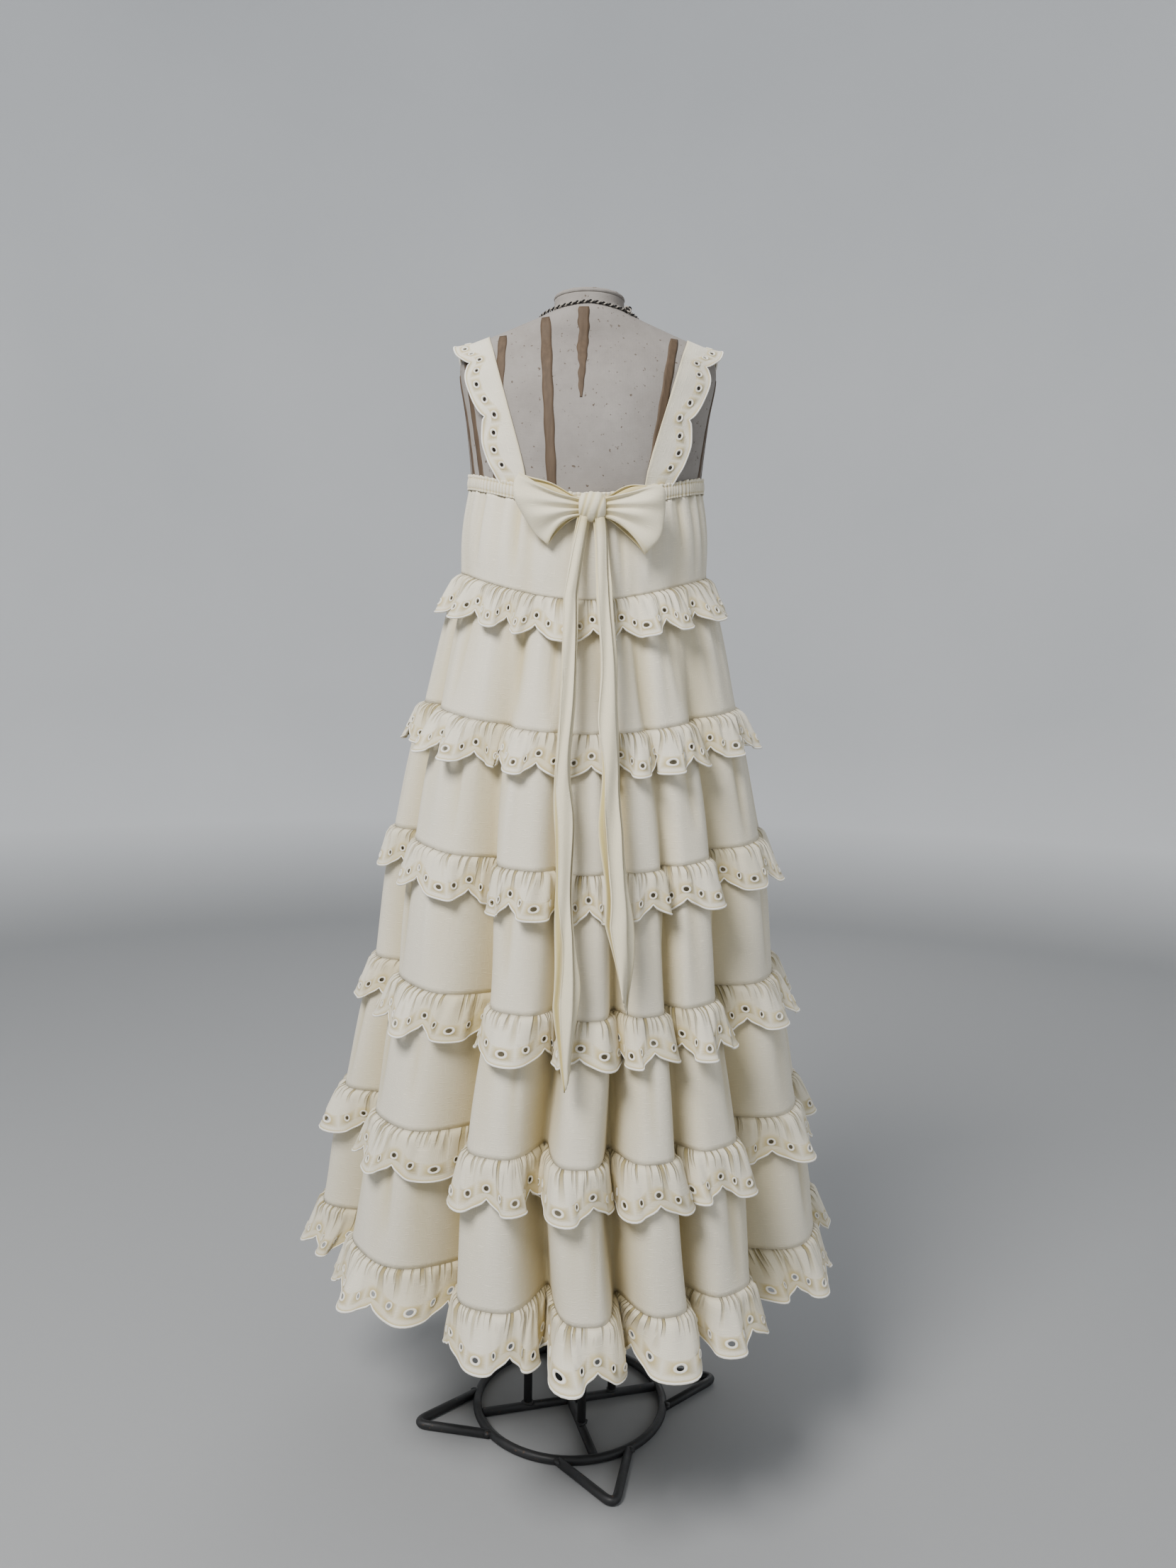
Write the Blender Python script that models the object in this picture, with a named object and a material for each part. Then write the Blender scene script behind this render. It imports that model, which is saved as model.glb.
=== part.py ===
"""Tiered maxi dress with scalloped eyelet ruffles, on a limbless dress form with an iron stand.

Metres, +Z up. The garment's back faces -Y and +X is to the right as seen from behind. The floor is z = 0 and
the stand's cross is at the origin. Every piece of cloth is a thin wall round a hollow. Angles round the
figure are measured from the middle of the back, positive towards +X.
"""

import math

import bmesh
import bpy
import numpy as np

CLOTH = 0.0015  # thickness of a wall of cloth
GAP = 0.0003  # left between two pieces that are sewn together or that touch
HALVES_APART = 0.0002  # how far each half of a ruffle stops short of the line that parts it
NECK_DROP_POWER = 1.5  # how quickly the back's dip fades towards the sides

# The seams round the dress from the top edge down to the hem: height at the sides and at the middle of the
# back, half the width and half the depth of the oval, and the share of the hem's folds that it has.
LEVEL_COLUMNS = ("side", "back", "half_width", "half_depth", "folds")
LEVELS = [
    dict(zip(LEVEL_COLUMNS, row))
    for row in (
        (1.308, 1.271, 0.156, 0.118, 0.00),
        (1.182, 1.141, 0.166, 0.132, 0.06),
        (1.010, 0.976, 0.212, 0.180, 0.35),
        (0.840, 0.810, 0.250, 0.224, 0.60),
        (0.660, 0.645, 0.274, 0.264, 0.80),
        (0.481, 0.482, 0.312, 0.302, 0.92),
        (0.310, 0.310, 0.343, 0.330, 1.00),
        (0.248, 0.248, 0.360, 0.348, 1.02),
    )
]

# The large folds of the skirt: the angle and reach of each rounded crest, then of the narrow valley after it.
# A reach is a share of the hem's oval.
FOLD_COLUMNS = ("crest", "crest_reach", "valley", "valley_reach")
FOLDS = [
    dict(zip(FOLD_COLUMNS, row))
    for row in (
        (-176, 1.01, -163, 0.80),
        (-148, 0.98, -134, 0.82),
        (-120, 1.00, -106, 0.79),
        (-90, 1.03, -75, 0.85),
        (-56, 0.94, -33, 0.74),
        (-17, 0.98, -7, 0.82),
        (3.5, 1.03, 11, 0.86),
        (20, 1.01, 28.5, 0.88),
        (35, 0.97, 53, 0.75),
        (74, 0.98, 88, 0.82),
        (103, 1.03, 117, 0.83),
        (131, 0.97, 144, 0.79),
        (158, 1.00, 171, 0.84),
    )
]
CREST_FULLNESS = 2.3  # 2 is a round crest, more is a flatter one with steeper sides
MOST_STRETCH = 2.2  # limit on how far a wall is thickened radially on a fold's steep side
SLOPE_STEP = 0.5  # degrees either way over which that steepness is measured

# The ruffles, one at each seam below the bodice: scallops round it and its depth at the deepest.
RUFFLE_COLUMNS = ("scallops", "depth")
RUFFLES = [
    dict(zip(RUFFLE_COLUMNS, row))
    for row in ((20, 0.054), (26, 0.055), (32, 0.056), (36, 0.057), (40, 0.058), (46, 0.062))
]
SCALLOP_RISE = 0.017  # how far the notch between two scallops lies above their lowest point
COLUMNS_A_SCALLOP = 3
RUFFLE_STAND_OFF = 0.004  # the ruffle's edge from the tier, at a notch
RUFFLE_WAVE = 0.014  # how much further a scallop's belly swings out
EYELET = 0.0046  # side of the square that stands for a 5.2 mm round eyelet
EYELET_DROP = 0.66  # its place down the ruffle
WIDEST_EYELET = 0.32  # most of a column's half that a hole may take, where a fold presses columns together

CASING_HEIGHT = 0.016
CASING_WALL = 0.0025
CASING_COLUMNS = 48

# Shoulder straps: places of the inner edge from the back casing over the shoulder to the front casing, with
# the turn of the strap's width from flat against the back, and its droop towards the arm.
STRAP_COLUMNS = ("x", "y", "z", "turn", "droop")
STRAP = [
    dict(zip(STRAP_COLUMNS, row))
    for row in (
        (0.0720, -0.1050, 1.2820, 29, -4),
        (0.0840, -0.0960, 1.3300, 27, 0),
        (0.1000, -0.0830, 1.3850, 28, 4),
        (0.1150, -0.0650, 1.4370, 28, 8),
        (0.1240, -0.0440, 1.4690, 20, 12),
        (0.1300, 0.0000, 1.4893, 0, 15),
        (0.1240, 0.0440, 1.4690, -20, 12),
        (0.1150, 0.0650, 1.4400, -28, 8),
        (0.1010, 0.0830, 1.3900, -28, 4),
        (0.0880, 0.0950, 1.3450, -27, 0),
        (0.0780, 0.1025, 1.3100, -29, -4),
    )
]
STRAP_WIDTH = 0.052
STRAP_SCALLOPS = 6
STRAP_RISE = 0.014
SCALLOP_ROUNDNESS = 0.7  # 1 is a sine's arch, less is a rounder one with sharper notches
STRAP_WALL = 0.0015
STRAP_CLEARANCE = 0.0019  # from the form at the corners of its facets, so about half that between them
STRAP_COLUMNS_A_SCALLOP = 5
# A strap's holes: column in a scallop, and place across the outer half of the strap.
STRAP_EYELETS = ((1, 0.52), (2, 0.42), (3, 0.52))

LIFT_STEP = 0.0004
LIFT_STEPS = 60

SASH_WALL = 0.002
KNOT_CENTRE = (0.009, -0.1320, 1.256)
KNOT_SIZE = (0.034, 0.024, 0.034)
KNOT_SLICES = 5  # its end faces lie at the first and last of these
KNOT_SIDES = 12
KNOT_BULGE = (0.8, 0.6)  # powers of the cosine and sine that swell it lengthwise and across
LOOP_STEPS = 12
LOOP_ROWS = 4
# Bow loops: length, height of the fanned sash, and how far the middle of the loop's end hangs down.
LOOP_COLUMNS = ("side", "length", "fan", "end_drop")
LOOPS = [
    dict(zip(LOOP_COLUMNS, row)) for row in (("left", 0.076, 0.084, 0.002), ("right", 0.072, 0.080, 0.016))
]
LOOP_PUFF = 0.022  # depth of a loop from its front to its back layer
LOOP_ROOT_PUFF = 0.35  # share of that at the knot
LOOP_DROOP = 1.5  # power of the way along that gives the droop
LOOP_OUTLINE = ((0, 0.30), (0.3, 0.66), (0.7, 1.0), (0.9, 0.92), (1, 0.72))  # share along, share of the fan
# Bow tails: x of the middle at the knot, where it crosses the first seam, half way and at the tip, then the
# height of the tip and the slant of its cut end.
TAIL_COLUMNS = ("side", "x", "tip", "slant")
TAILS = [
    dict(zip(TAIL_COLUMNS, row))
    for row in (
        ("left", (0.0000, -0.0190, -0.020, -0.016), 0.587, 0.018),
        ("right", (0.0172, 0.0280, 0.038, 0.052), 0.675, -0.016),
    )
]
TAIL_PLACES = (0, 0.15, 0.5, 1)  # where those lie, as shares of the tail's length
TAIL_SPREAD = (0.38, 0.70, 1.0, 1.0)  # share of its width that the tail has at each
TAIL_WIDTH = 0.042
TAIL_PLEAT = 0.004  # depth of the soft pleats down a tail
TAIL_CLEARANCE = 0.003  # from the ruffles that the tails hang over
TAIL_PLEATS = (0.0, 1.0, 0.2, 1.0, 0.0)  # height of the soft pleats at even places across a tail
TAIL_STEPS = 14
TAILS_LIE_WITHIN = (-16, 20)  # degrees of the back that they hang over

# Dress form: half width and half depth of each section, from its flat base up to the neck.
FORM_COLUMNS = ("z", "half_width", "half_depth")
FORM = [
    dict(zip(FORM_COLUMNS, row))
    for row in (
        (0.800, 0.140, 0.098),
        (0.812, 0.150, 0.106),
        (0.900, 0.158, 0.114),
        (0.980, 0.146, 0.108),
        (1.070, 0.116, 0.088),
        (1.160, 0.134, 0.102),
        (1.240, 0.149, 0.1125),
        (1.310, 0.1535, 0.1130),
        (1.380, 0.161, 0.104),
        (1.435, 0.170, 0.086),
        (1.462, 0.168, 0.070),
        (1.478, 0.156, 0.060),
        (1.499, 0.107, 0.057),
        (1.517, 0.063, 0.054),
        (1.527, 0.048, 0.048),
        (1.540, 0.046, 0.046),
    )
]
FORM_SIDES = 24
NECK_CAP_TOP = 1.550
NECK_CAP_RADIUS = 0.047
# Its dome from the bottom up: share of the radius, share of the height.
NECK_CAP_SECTIONS = ((0.96, 0.0), (1.0, 0.3), (0.92, 0.72), (0.6, 0.95), (0.2, 1.0))

# Iron stand of round bar, all of it flat on the floor but for the four rods up to the form.
BAR = 0.012
BAR_SIDES = 8
RING_RADIUS = 0.1335
RING_SIDES = 32
STAND_TURN = 15.5  # degrees that the cross is turned from the figure's own axes
ROD_RADIUS = 0.0625  # how far each rod stands from the middle
FOOT_RADIUS = 0.226
FOOT_SPREAD = 22.5  # degrees from a foot's middle to where each of its ends meets the ring
FOOT_BEND = 0.022  # from there back along each arm, where the bar begins to bend
FOOT_BEND_STEPS = 4


def finish(name, colour, roughness, metallic=0.0):
    """A Principled material of one colour."""
    material = bpy.data.materials.new(name)
    material.use_nodes = True
    shader = material.node_tree.nodes["Principled BSDF"]
    shader.inputs["Base Color"].default_value = (*colour, 1.0)
    shader.inputs["Roughness"].default_value = roughness
    shader.inputs["Metallic"].default_value = metallic
    material.diffuse_color = (*colour, 1.0)
    return material


def add_solid(name, points, faces, material):
    """An object from points and faces that close round it, shaded smooth, facing out."""
    mesh = bpy.data.meshes.new(name)
    mesh.from_pydata([tuple(map(float, p)) for p in points], [], faces)
    shell = bmesh.new()
    shell.from_mesh(mesh)
    bmesh.ops.recalc_face_normals(shell, faces=shell.faces)
    shell.to_mesh(mesh)
    shell.free()
    mesh.shade_smooth()
    mesh.set_sharp_from_angle(angle=math.radians(50))
    mesh.materials.append(material)
    obj = bpy.data.objects.new(name, mesh)
    bpy.context.scene.collection.objects.link(obj)
    return obj


def blend(a, b, share):
    return a + (b - a) * share


def add_wall(name, outer, inner, material, ring=False, eyelets=None):
    """A wall between two grids of points of one shape (rows, columns, 3), closed at its edges.

    A ring's last column joins its first. eyelets maps a cell (row, column) to its hole's middle and half
    size, as (across, down, half across, half down) in shares of the cell.
    """
    eyelets = eyelets or {}
    rows, columns = outer.shape[:2]
    points = list(outer.reshape(-1, 3)) + list(inner.reshape(-1, 3))
    grids = (outer, inner)
    faces = []

    def at(layer, row, column):
        return (layer * rows + row) * columns + column % columns

    spans = columns if ring else columns - 1
    for row in range(rows - 1):
        for column in range(spans):
            cell = ((row, column), (row, column + 1), (row + 1, column + 1), (row + 1, column))
            if (row, column) not in eyelets:
                for layer in (0, 1):
                    a, b, c, d = (at(layer, *corner) for corner in cell)
                    faces += [(a, b, c), (a, c, d)]
                continue
            across, down, half_across, half_down = eyelets[row, column]
            rims = []
            for layer in (0, 1):
                corners = [grids[layer][r, c % columns] for r, c in cell]
                first = len(points)
                for side, level in ((-1, -1), (1, -1), (1, 1), (-1, 1)):
                    u = across + side * half_across
                    v = down + level * half_down
                    top = blend(corners[0], corners[1], u)
                    points.append(blend(top, blend(corners[3], corners[2], u), v))
                rims.append([first + i for i in range(4)])
                outline = [at(layer, *corner) for corner in cell]
                for i in range(4):
                    j = (i + 1) % 4
                    faces += [
                        (outline[i], outline[j], rims[layer][j]),
                        (outline[i], rims[layer][j], rims[layer][i]),
                    ]
            for i in range(4):
                j = (i + 1) % 4
                faces.append((rims[0][i], rims[0][j], rims[1][j], rims[1][i]))
    for row in (0, rows - 1):
        for column in range(spans):
            near, far = column, column + 1
            faces.append((at(0, row, near), at(0, row, far), at(1, row, far), at(1, row, near)))
    if not ring:
        for column in (0, columns - 1):
            for row in range(rows - 1):
                faces.append(
                    (at(0, row, column), at(0, row + 1, column), at(1, row + 1, column), at(1, row, column))
                )
    return add_solid(name, points, faces, material)


def level_values(level):
    """The level table's row at a level that may lie between two rows."""
    rows = np.arange(len(LEVELS))
    return {name: np.interp(level, rows, [row[name] for row in LEVELS]) for name in LEVEL_COLUMNS}


def fold_reach(angles):
    """Share of the hem's oval reached at each angle: rounded crests that fall to narrow valleys."""
    knots = [(fold["crest"], fold["crest_reach"], True) for fold in FOLDS]
    knots += [(fold["valley"], fold["valley_reach"], False) for fold in FOLDS]
    knots.sort()
    first = knots[0]
    knots.append((first[0] + 360, first[1], first[2]))
    place = np.array([knot[0] for knot in knots], float)
    reach = np.array([knot[1] for knot in knots], float)
    is_crest = np.array([knot[2] for knot in knots])
    angles = (np.asarray(angles, float) - place[0]) % 360 + place[0]
    low = np.clip(np.searchsorted(place, angles, side="right") - 1, 0, len(place) - 2)
    share = (angles - place[low]) / (place[low + 1] - place[low])
    from_crest = np.where(is_crest[low], share, 1 - share)
    crest = np.where(is_crest[low], reach[low], reach[low + 1])
    valley = np.where(is_crest[low], reach[low + 1], reach[low])
    return valley + (crest - valley) * (1 - from_crest**CREST_FULLNESS)


def radius(angles, level):
    """Distance of the dress's outer face from the axis: the level's oval, drawn in by its folds."""
    row = level_values(level)
    turn = np.radians(angles)
    oval = 1 / np.hypot(np.sin(turn) / row["half_width"], np.cos(turn) / row["half_depth"])
    return oval * (1 + row["folds"] * (fold_reach(angles) - 1))


def stretch(angles, level):
    """How much further a wall reaches along the radius where the surface is steep to it."""
    slope = radius(angles + SLOPE_STEP, level) - radius(angles - SLOPE_STEP, level)
    slope /= np.radians(2 * SLOPE_STEP)
    return np.minimum(np.hypot(1, slope / radius(angles, level)), MOST_STRETCH)


def height(angles, level):
    """Height of a level at each angle: it dips towards the middle of the back."""
    row = level_values(level)
    dip = np.clip(np.cos(np.radians(angles)), 0, None) ** NECK_DROP_POWER
    return row["side"] + (row["back"] - row["side"]) * dip


def ring_points(angles, reach, heights):
    turn = np.radians(angles)
    return np.stack([reach * np.sin(turn), -reach * np.cos(turn), heights], axis=-1)


def even_angles(level, half, count):
    """Angles that part one half of a level's outline, left or right of the back, into equal lengths."""
    fine = np.linspace(-180, 0, 1441) if half == "left" else np.linspace(0, 180, 1441)
    points = ring_points(fine, radius(fine, level), np.zeros_like(fine))
    length = np.concatenate([[0], np.cumsum(np.linalg.norm(np.diff(points, axis=0), axis=1))])
    return np.interp(np.linspace(0, length[-1], count + 1), length, fine)


def ruffle_angles(number, half):
    """The columns of one half of a ruffle, three to a scallop."""
    scallops = RUFFLES[number - 1]["scallops"] // 2
    return even_angles(number, half, scallops * COLUMNS_A_SCALLOP)


def tube_angles(number):
    """The columns of the tier under a ruffle, the same as the ruffle's own."""
    return np.concatenate([ruffle_angles(number, "left"), ruffle_angles(number, "right")[1:-1]])


def cloth_tube(name, angles, top, bottom, material):
    """A tube of cloth from one level to the next."""
    reach = np.stack([radius(angles, level) for level in (top, bottom)])
    thick = np.stack([CLOTH * stretch(angles, level) for level in (top, bottom)])
    heights = np.stack([height(angles, top) - GAP / 2, height(angles, bottom) + GAP / 2])
    outer = ring_points(angles, reach, heights)
    inner = ring_points(angles, reach - thick, heights)
    return add_wall(name, outer, inner, material, ring=True)


def ruffle_half(number, half, material):
    """One half of a gathered ruffle: its top edge is in the seam, its scalloped edge swings out."""
    ruffle = RUFFLES[number - 1]
    angles = ruffle_angles(number, half)
    hem = number == len(RUFFLES)
    place = np.arange(len(angles)) % COLUMNS_A_SCALLOP
    belly = (place != 0).astype(float)
    depth = ruffle["depth"] - SCALLOP_RISE * (1 - belly)
    top_height = height(angles, number) - GAP / 2
    span = height(angles, number) - height(angles, number + 1)
    share = depth / span
    base_top = radius(angles, number)
    base_low = blend(base_top, radius(angles, number + 1), share)
    steep = stretch(angles, number)
    lift = -CLOTH * steep if hem else GAP * steep
    swing = RUFFLE_WAVE * belly + (0 if hem else RUFFLE_STAND_OFF)
    inner_reach = np.stack([base_top + lift, base_low + lift + swing])
    heights = np.stack([top_height, top_height - depth])
    angles = angles.copy()
    angles[[0, -1]] += np.degrees(HALVES_APART / base_top[[0, -1]]) * (1, -1)
    inner = ring_points(angles, inner_reach, heights)
    outer = ring_points(angles, inner_reach + CLOTH * steep, heights)
    eyelets = {}
    for column in range(1, len(angles), COLUMNS_A_SCALLOP):
        width = np.linalg.norm(outer[1, column + 1] - outer[1, column])
        half_across = min(EYELET / width / 2, WIDEST_EYELET)
        eyelets[0, column] = (0.5, EYELET_DROP, half_across, EYELET / ruffle["depth"] / 2)
    return add_wall(f"ruffle_{number}_{half}", outer, inner, material, eyelets=eyelets)


def smooth_rows(rows, columns, count):
    """A smooth curve through a table's rows, read at equal steps: a Catmull-Rom spline."""
    table = np.array([[row[name] for name in columns] for row in rows], float)
    ends = np.concatenate([[2 * table[0] - table[1]], table, [2 * table[-1] - table[-2]]])
    place = np.linspace(0, len(table) - 1, count)
    first = np.minimum(place.astype(int), len(table) - 2)
    t = (place - first)[:, None]
    before, start, end, after = (ends[first + i] for i in range(4))
    return 0.5 * (
        2 * start
        + (end - before) * t
        + (2 * before - 5 * start + 4 * end - after) * t**2
        + (3 * start - before - 3 * end + after) * t**3
    )


def inside_form(points):
    """Whether each point lies inside the dress form."""
    heights = [row["z"] for row in FORM]
    half_width = np.interp(points[..., 2], heights, [row["half_width"] for row in FORM])
    half_depth = np.interp(points[..., 2], heights, [row["half_depth"] for row in FORM])
    return np.hypot(points[..., 0] / half_width, points[..., 1] / half_depth) < 1


def lift_off_form(points, normal, clearance):
    """Moves points along their normals, in small steps, until each is clear of the form."""
    for _ in range(LIFT_STEPS):
        near = inside_form(points - normal * clearance)
        points += np.where(near[..., None], normal * LIFT_STEP, 0)


def strap(side, material):
    """A shoulder strap: one strip of the scalloped border, its plain edge towards the neck."""
    mirror = -1 if side == "left" else 1
    count = STRAP_SCALLOPS * STRAP_COLUMNS_A_SCALLOP + 1
    x, y, z, turn, droop = smooth_rows(STRAP, STRAP_COLUMNS, count).T
    turn, droop = np.radians(turn), np.radians(droop)
    outward = np.stack([np.cos(turn) * np.cos(droop), np.sin(turn), -np.sin(droop)], axis=-1)
    outward /= np.linalg.norm(outward, axis=1)[:, None]
    inner_edge = np.stack([x, y, z], axis=-1)
    along = np.gradient(inner_edge, axis=0)
    normal = np.cross(outward, along)
    normal /= np.linalg.norm(normal, axis=1)[:, None]
    place = np.arange(count) % STRAP_COLUMNS_A_SCALLOP / STRAP_COLUMNS_A_SCALLOP
    width = STRAP_WIDTH - STRAP_RISE * (1 - np.sin(np.pi * place) ** SCALLOP_ROUNDNESS)
    rows = np.linspace(0, 1, 3)[:, None, None]
    under = inner_edge + rows * outward * width[:, None]
    lift_off_form(under, normal, STRAP_CLEARANCE)
    over = under + normal * STRAP_WALL
    for end in (0, -1):
        angles = np.degrees(np.arctan2(under[:, end, 0], -under[:, end, 1]))
        for face, offset in ((under, -STRAP_WALL / 2), (over, STRAP_WALL / 2)):
            middle = radius(angles, 0) - CLOTH / 2
            face[:, end] = ring_points(angles, middle + offset, height(angles, 0) + GAP)
    under, over = under * (mirror, 1, 1), over * (mirror, 1, 1)
    eyelets = {}
    for scallop in range(STRAP_SCALLOPS):
        for column, across in STRAP_EYELETS:
            cell = scallop * STRAP_COLUMNS_A_SCALLOP + column
            length = np.linalg.norm(inner_edge[cell + 1] - inner_edge[cell])
            eyelets[1, cell] = (0.5, across, EYELET / length / 2, EYELET / width[cell])
    return add_wall(f"strap_{side}", over, under, material, eyelets=eyelets)


def casing(material):
    """The elasticated top edge of the bodice: a thicker ring above it."""
    angles = np.linspace(-180, 180, CASING_COLUMNS, endpoint=False)
    drop = CASING_HEIGHT / (LEVELS[0]["side"] - LEVELS[1]["side"])
    levels = (0, drop)
    reach = np.stack([radius(angles, level) for level in levels]) + (CASING_WALL - CLOTH) / 2
    heights = np.stack([height(angles, 0), height(angles, drop) + GAP / 2])
    outer = ring_points(angles, reach, heights)
    inner = ring_points(angles, reach - CASING_WALL, heights)
    return add_wall("top_casing", outer, inner, material, ring=True), drop


def knot_reach(turn):
    """How far a slice of the knot lies from its middle."""
    return KNOT_SIZE[0] / 2 * math.copysign(abs(math.cos(turn)) ** KNOT_BULGE[0], -math.cos(turn))


def bow_knot(material):
    """The knot: a cushion-shaped lump, pinched where the loops leave it."""
    slices = KNOT_SLICES
    sides = KNOT_SIDES
    points = []
    for i in range(1, slices):
        turn = math.pi * i / slices
        for j in range(sides):
            around = 2 * math.pi * j / sides
            spread = math.sin(turn) ** KNOT_BULGE[1]
            points.append(
                (
                    KNOT_CENTRE[0] + knot_reach(turn),
                    KNOT_CENTRE[1] + KNOT_SIZE[1] / 2 * spread * math.cos(around),
                    KNOT_CENTRE[2] + KNOT_SIZE[2] / 2 * spread * math.sin(around),
                )
            )
    faces = [tuple(range(sides)), tuple(range((slices - 2) * sides, (slices - 1) * sides))]
    for i in range(slices - 2):
        for j in range(sides):
            k = (j + 1) % sides
            faces.append((i * sides + j, i * sides + k, (i + 1) * sides + k, (i + 1) * sides + j))
    return add_solid("bow_knot", points, faces, material)


def bow_loop(loop, material):
    """A loop: the sash leaves the knot's front, turns at its fanned end and comes back behind."""
    mirror = -1 if loop["side"] == "left" else 1
    turn = np.linspace(0, 2 * math.pi, LOOP_STEPS + 1)[1:-1]
    along = (math.cos(turn[0]) - np.cos(turn)) / (math.cos(turn[0]) + 1)
    knot_end = -knot_reach(math.pi / KNOT_SLICES)
    root = KNOT_CENTRE[0] + mirror * (knot_end + GAP)
    x = root + mirror * loop["length"] * along
    y = KNOT_CENTRE[1] - np.sin(turn) * LOOP_PUFF / 2 * blend(LOOP_ROOT_PUFF, 1, along)
    high = loop["fan"] * np.interp(along, *zip(*LOOP_OUTLINE))
    across = np.linspace(0.5, -0.5, LOOP_ROWS)[:, None]
    z = KNOT_CENTRE[2] - loop["end_drop"] * along**LOOP_DROOP + across * high
    centre = np.stack(np.broadcast_arrays(x, y, z), axis=-1)
    tangent = np.gradient(centre, axis=1)
    normal = np.cross(tangent, (0, 0, mirror))
    normal /= np.linalg.norm(normal, axis=2)[..., None]
    outer = centre + normal * SASH_WALL / 2
    inner = centre - normal * SASH_WALL / 2
    return add_wall(f"bow_loop_{loop['side']}", outer, inner, material)


def tail_lips():
    """Heights and places down the back where a tail touches the dress: the knot, then each ruffle's lip."""
    near = np.arange(TAILS_LIE_WITHIN[0], TAILS_LIE_WITHIN[1] + 1.0)
    places = [(KNOT_CENTRE[2] - KNOT_SIZE[2] / 2 - GAP, KNOT_CENTRE[1])]
    for number, ruffle in enumerate(RUFFLES[:4], start=1):
        span = LEVELS[number]["back"] - LEVELS[number + 1]["back"]
        level = number + ruffle["depth"] / span
        reach = (radius(near, level) * np.cos(np.radians(near))).max()
        stand = RUFFLE_STAND_OFF + RUFFLE_WAVE + 2 * CLOTH + TAIL_CLEARANCE
        places.append((LEVELS[number]["back"] - ruffle["depth"], -(reach + stand)))
    return places


def bow_tail(tail, material):
    """A tail: the sash folded lengthwise, hanging from the knot over the ruffles to a slanted end."""
    lips = tail_lips()
    top = lips[0][0]
    z = np.linspace(top, tail["tip"], TAIL_STEPS + 1)[:, None]
    y = np.interp(-z, [-lip[0] for lip in lips], [lip[1] for lip in lips])
    down = (top - z) / (top - tail["tip"])
    x = np.interp(down, TAIL_PLACES, tail["x"])
    narrow = np.interp(down, TAIL_PLACES, TAIL_SPREAD)
    pleats = np.array(TAIL_PLEATS)
    across = np.linspace(-0.5, 0.5, len(pleats))
    points = np.stack(
        np.broadcast_arrays(
            x + across * TAIL_WIDTH * narrow,
            y - pleats * TAIL_PLEAT * narrow,
            z + across * tail["slant"] * down,
        ),
        axis=-1,
    )
    front = points.copy()
    front[..., 1] -= SASH_WALL
    return add_wall(f"bow_tail_{tail['side']}", front, points, material)


def oval_stack(name, sections, material):
    """A solid through ovals of (half width, half depth, height), closed flat at both ends."""
    points = []
    for half_width, half_depth, z in sections:
        for j in range(FORM_SIDES):
            t = 2 * math.pi * j / FORM_SIDES
            points.append((half_width * math.sin(t), -half_depth * math.cos(t), z))
    last = (len(sections) - 1) * FORM_SIDES
    faces = [tuple(range(FORM_SIDES)), tuple(range(last, last + FORM_SIDES))]
    for i in range(len(sections) - 1):
        for j in range(FORM_SIDES):
            k = (j + 1) % FORM_SIDES
            low, high = i * FORM_SIDES, (i + 1) * FORM_SIDES
            faces.append((low + j, low + k, high + k, high + j))
    return add_solid(name, points, faces, material)


def dress_form(material):
    """The padded torso from its flat base to the neck, and the covered cap's low dome on its flat top."""
    oval_stack("form_torso", [(row["half_width"], row["half_depth"], row["z"]) for row in FORM], material)
    base = FORM[-1]["z"] + GAP
    cap = []
    for share, up in NECK_CAP_SECTIONS:
        cap.append((NECK_CAP_RADIUS * share, NECK_CAP_RADIUS * share, blend(base, NECK_CAP_TOP, up)))
    oval_stack("form_neck_cap", cap, material)


def floor_bar(name, path, material, closed=False):
    """Round bar laid along a path of (x, y) points on the floor, mitred, with a flat underside."""
    sides = BAR_SIDES
    path = np.array(path, float)
    after = np.roll(path, -1, axis=0) - path
    before = path - np.roll(path, 1, axis=0)
    if not closed:
        after[-1] = before[-1]
        before[0] = after[0]
    after /= np.linalg.norm(after, axis=1)[:, None]
    before /= np.linalg.norm(before, axis=1)[:, None]
    middle = after + before
    middle /= np.linalg.norm(middle, axis=1)[:, None]
    mitre = 1 / (middle * after).sum(axis=1)
    side = np.stack([-middle[:, 1], middle[:, 0]], axis=1) * mitre[:, None]
    corner = BAR / 2 / math.cos(math.pi / sides)
    turn = math.pi / sides + 2 * math.pi * np.arange(sides) / sides
    level = BAR / 2 + corner * np.sin(turn)
    flat = path[:, None] + side[:, None] * (corner * np.cos(turn))[None, :, None]
    points = [(*place, z) for ring in flat for place, z in zip(ring, level)]
    faces = []
    count = len(path)
    for i in range(count if closed else count - 1):
        low, high = i * sides, (i + 1) % count * sides
        for j in range(sides):
            k = (j + 1) % sides
            faces.append((low + j, low + k, high + k, high + j))
    if not closed:
        faces += [tuple(range(sides)), tuple(range((count - 1) * sides, count * sides))]
    return add_solid(name, points, faces, material)


def polar(reach, degrees):
    turn = math.radians(degrees)
    return (reach * math.sin(turn), -reach * math.cos(turn))


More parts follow.
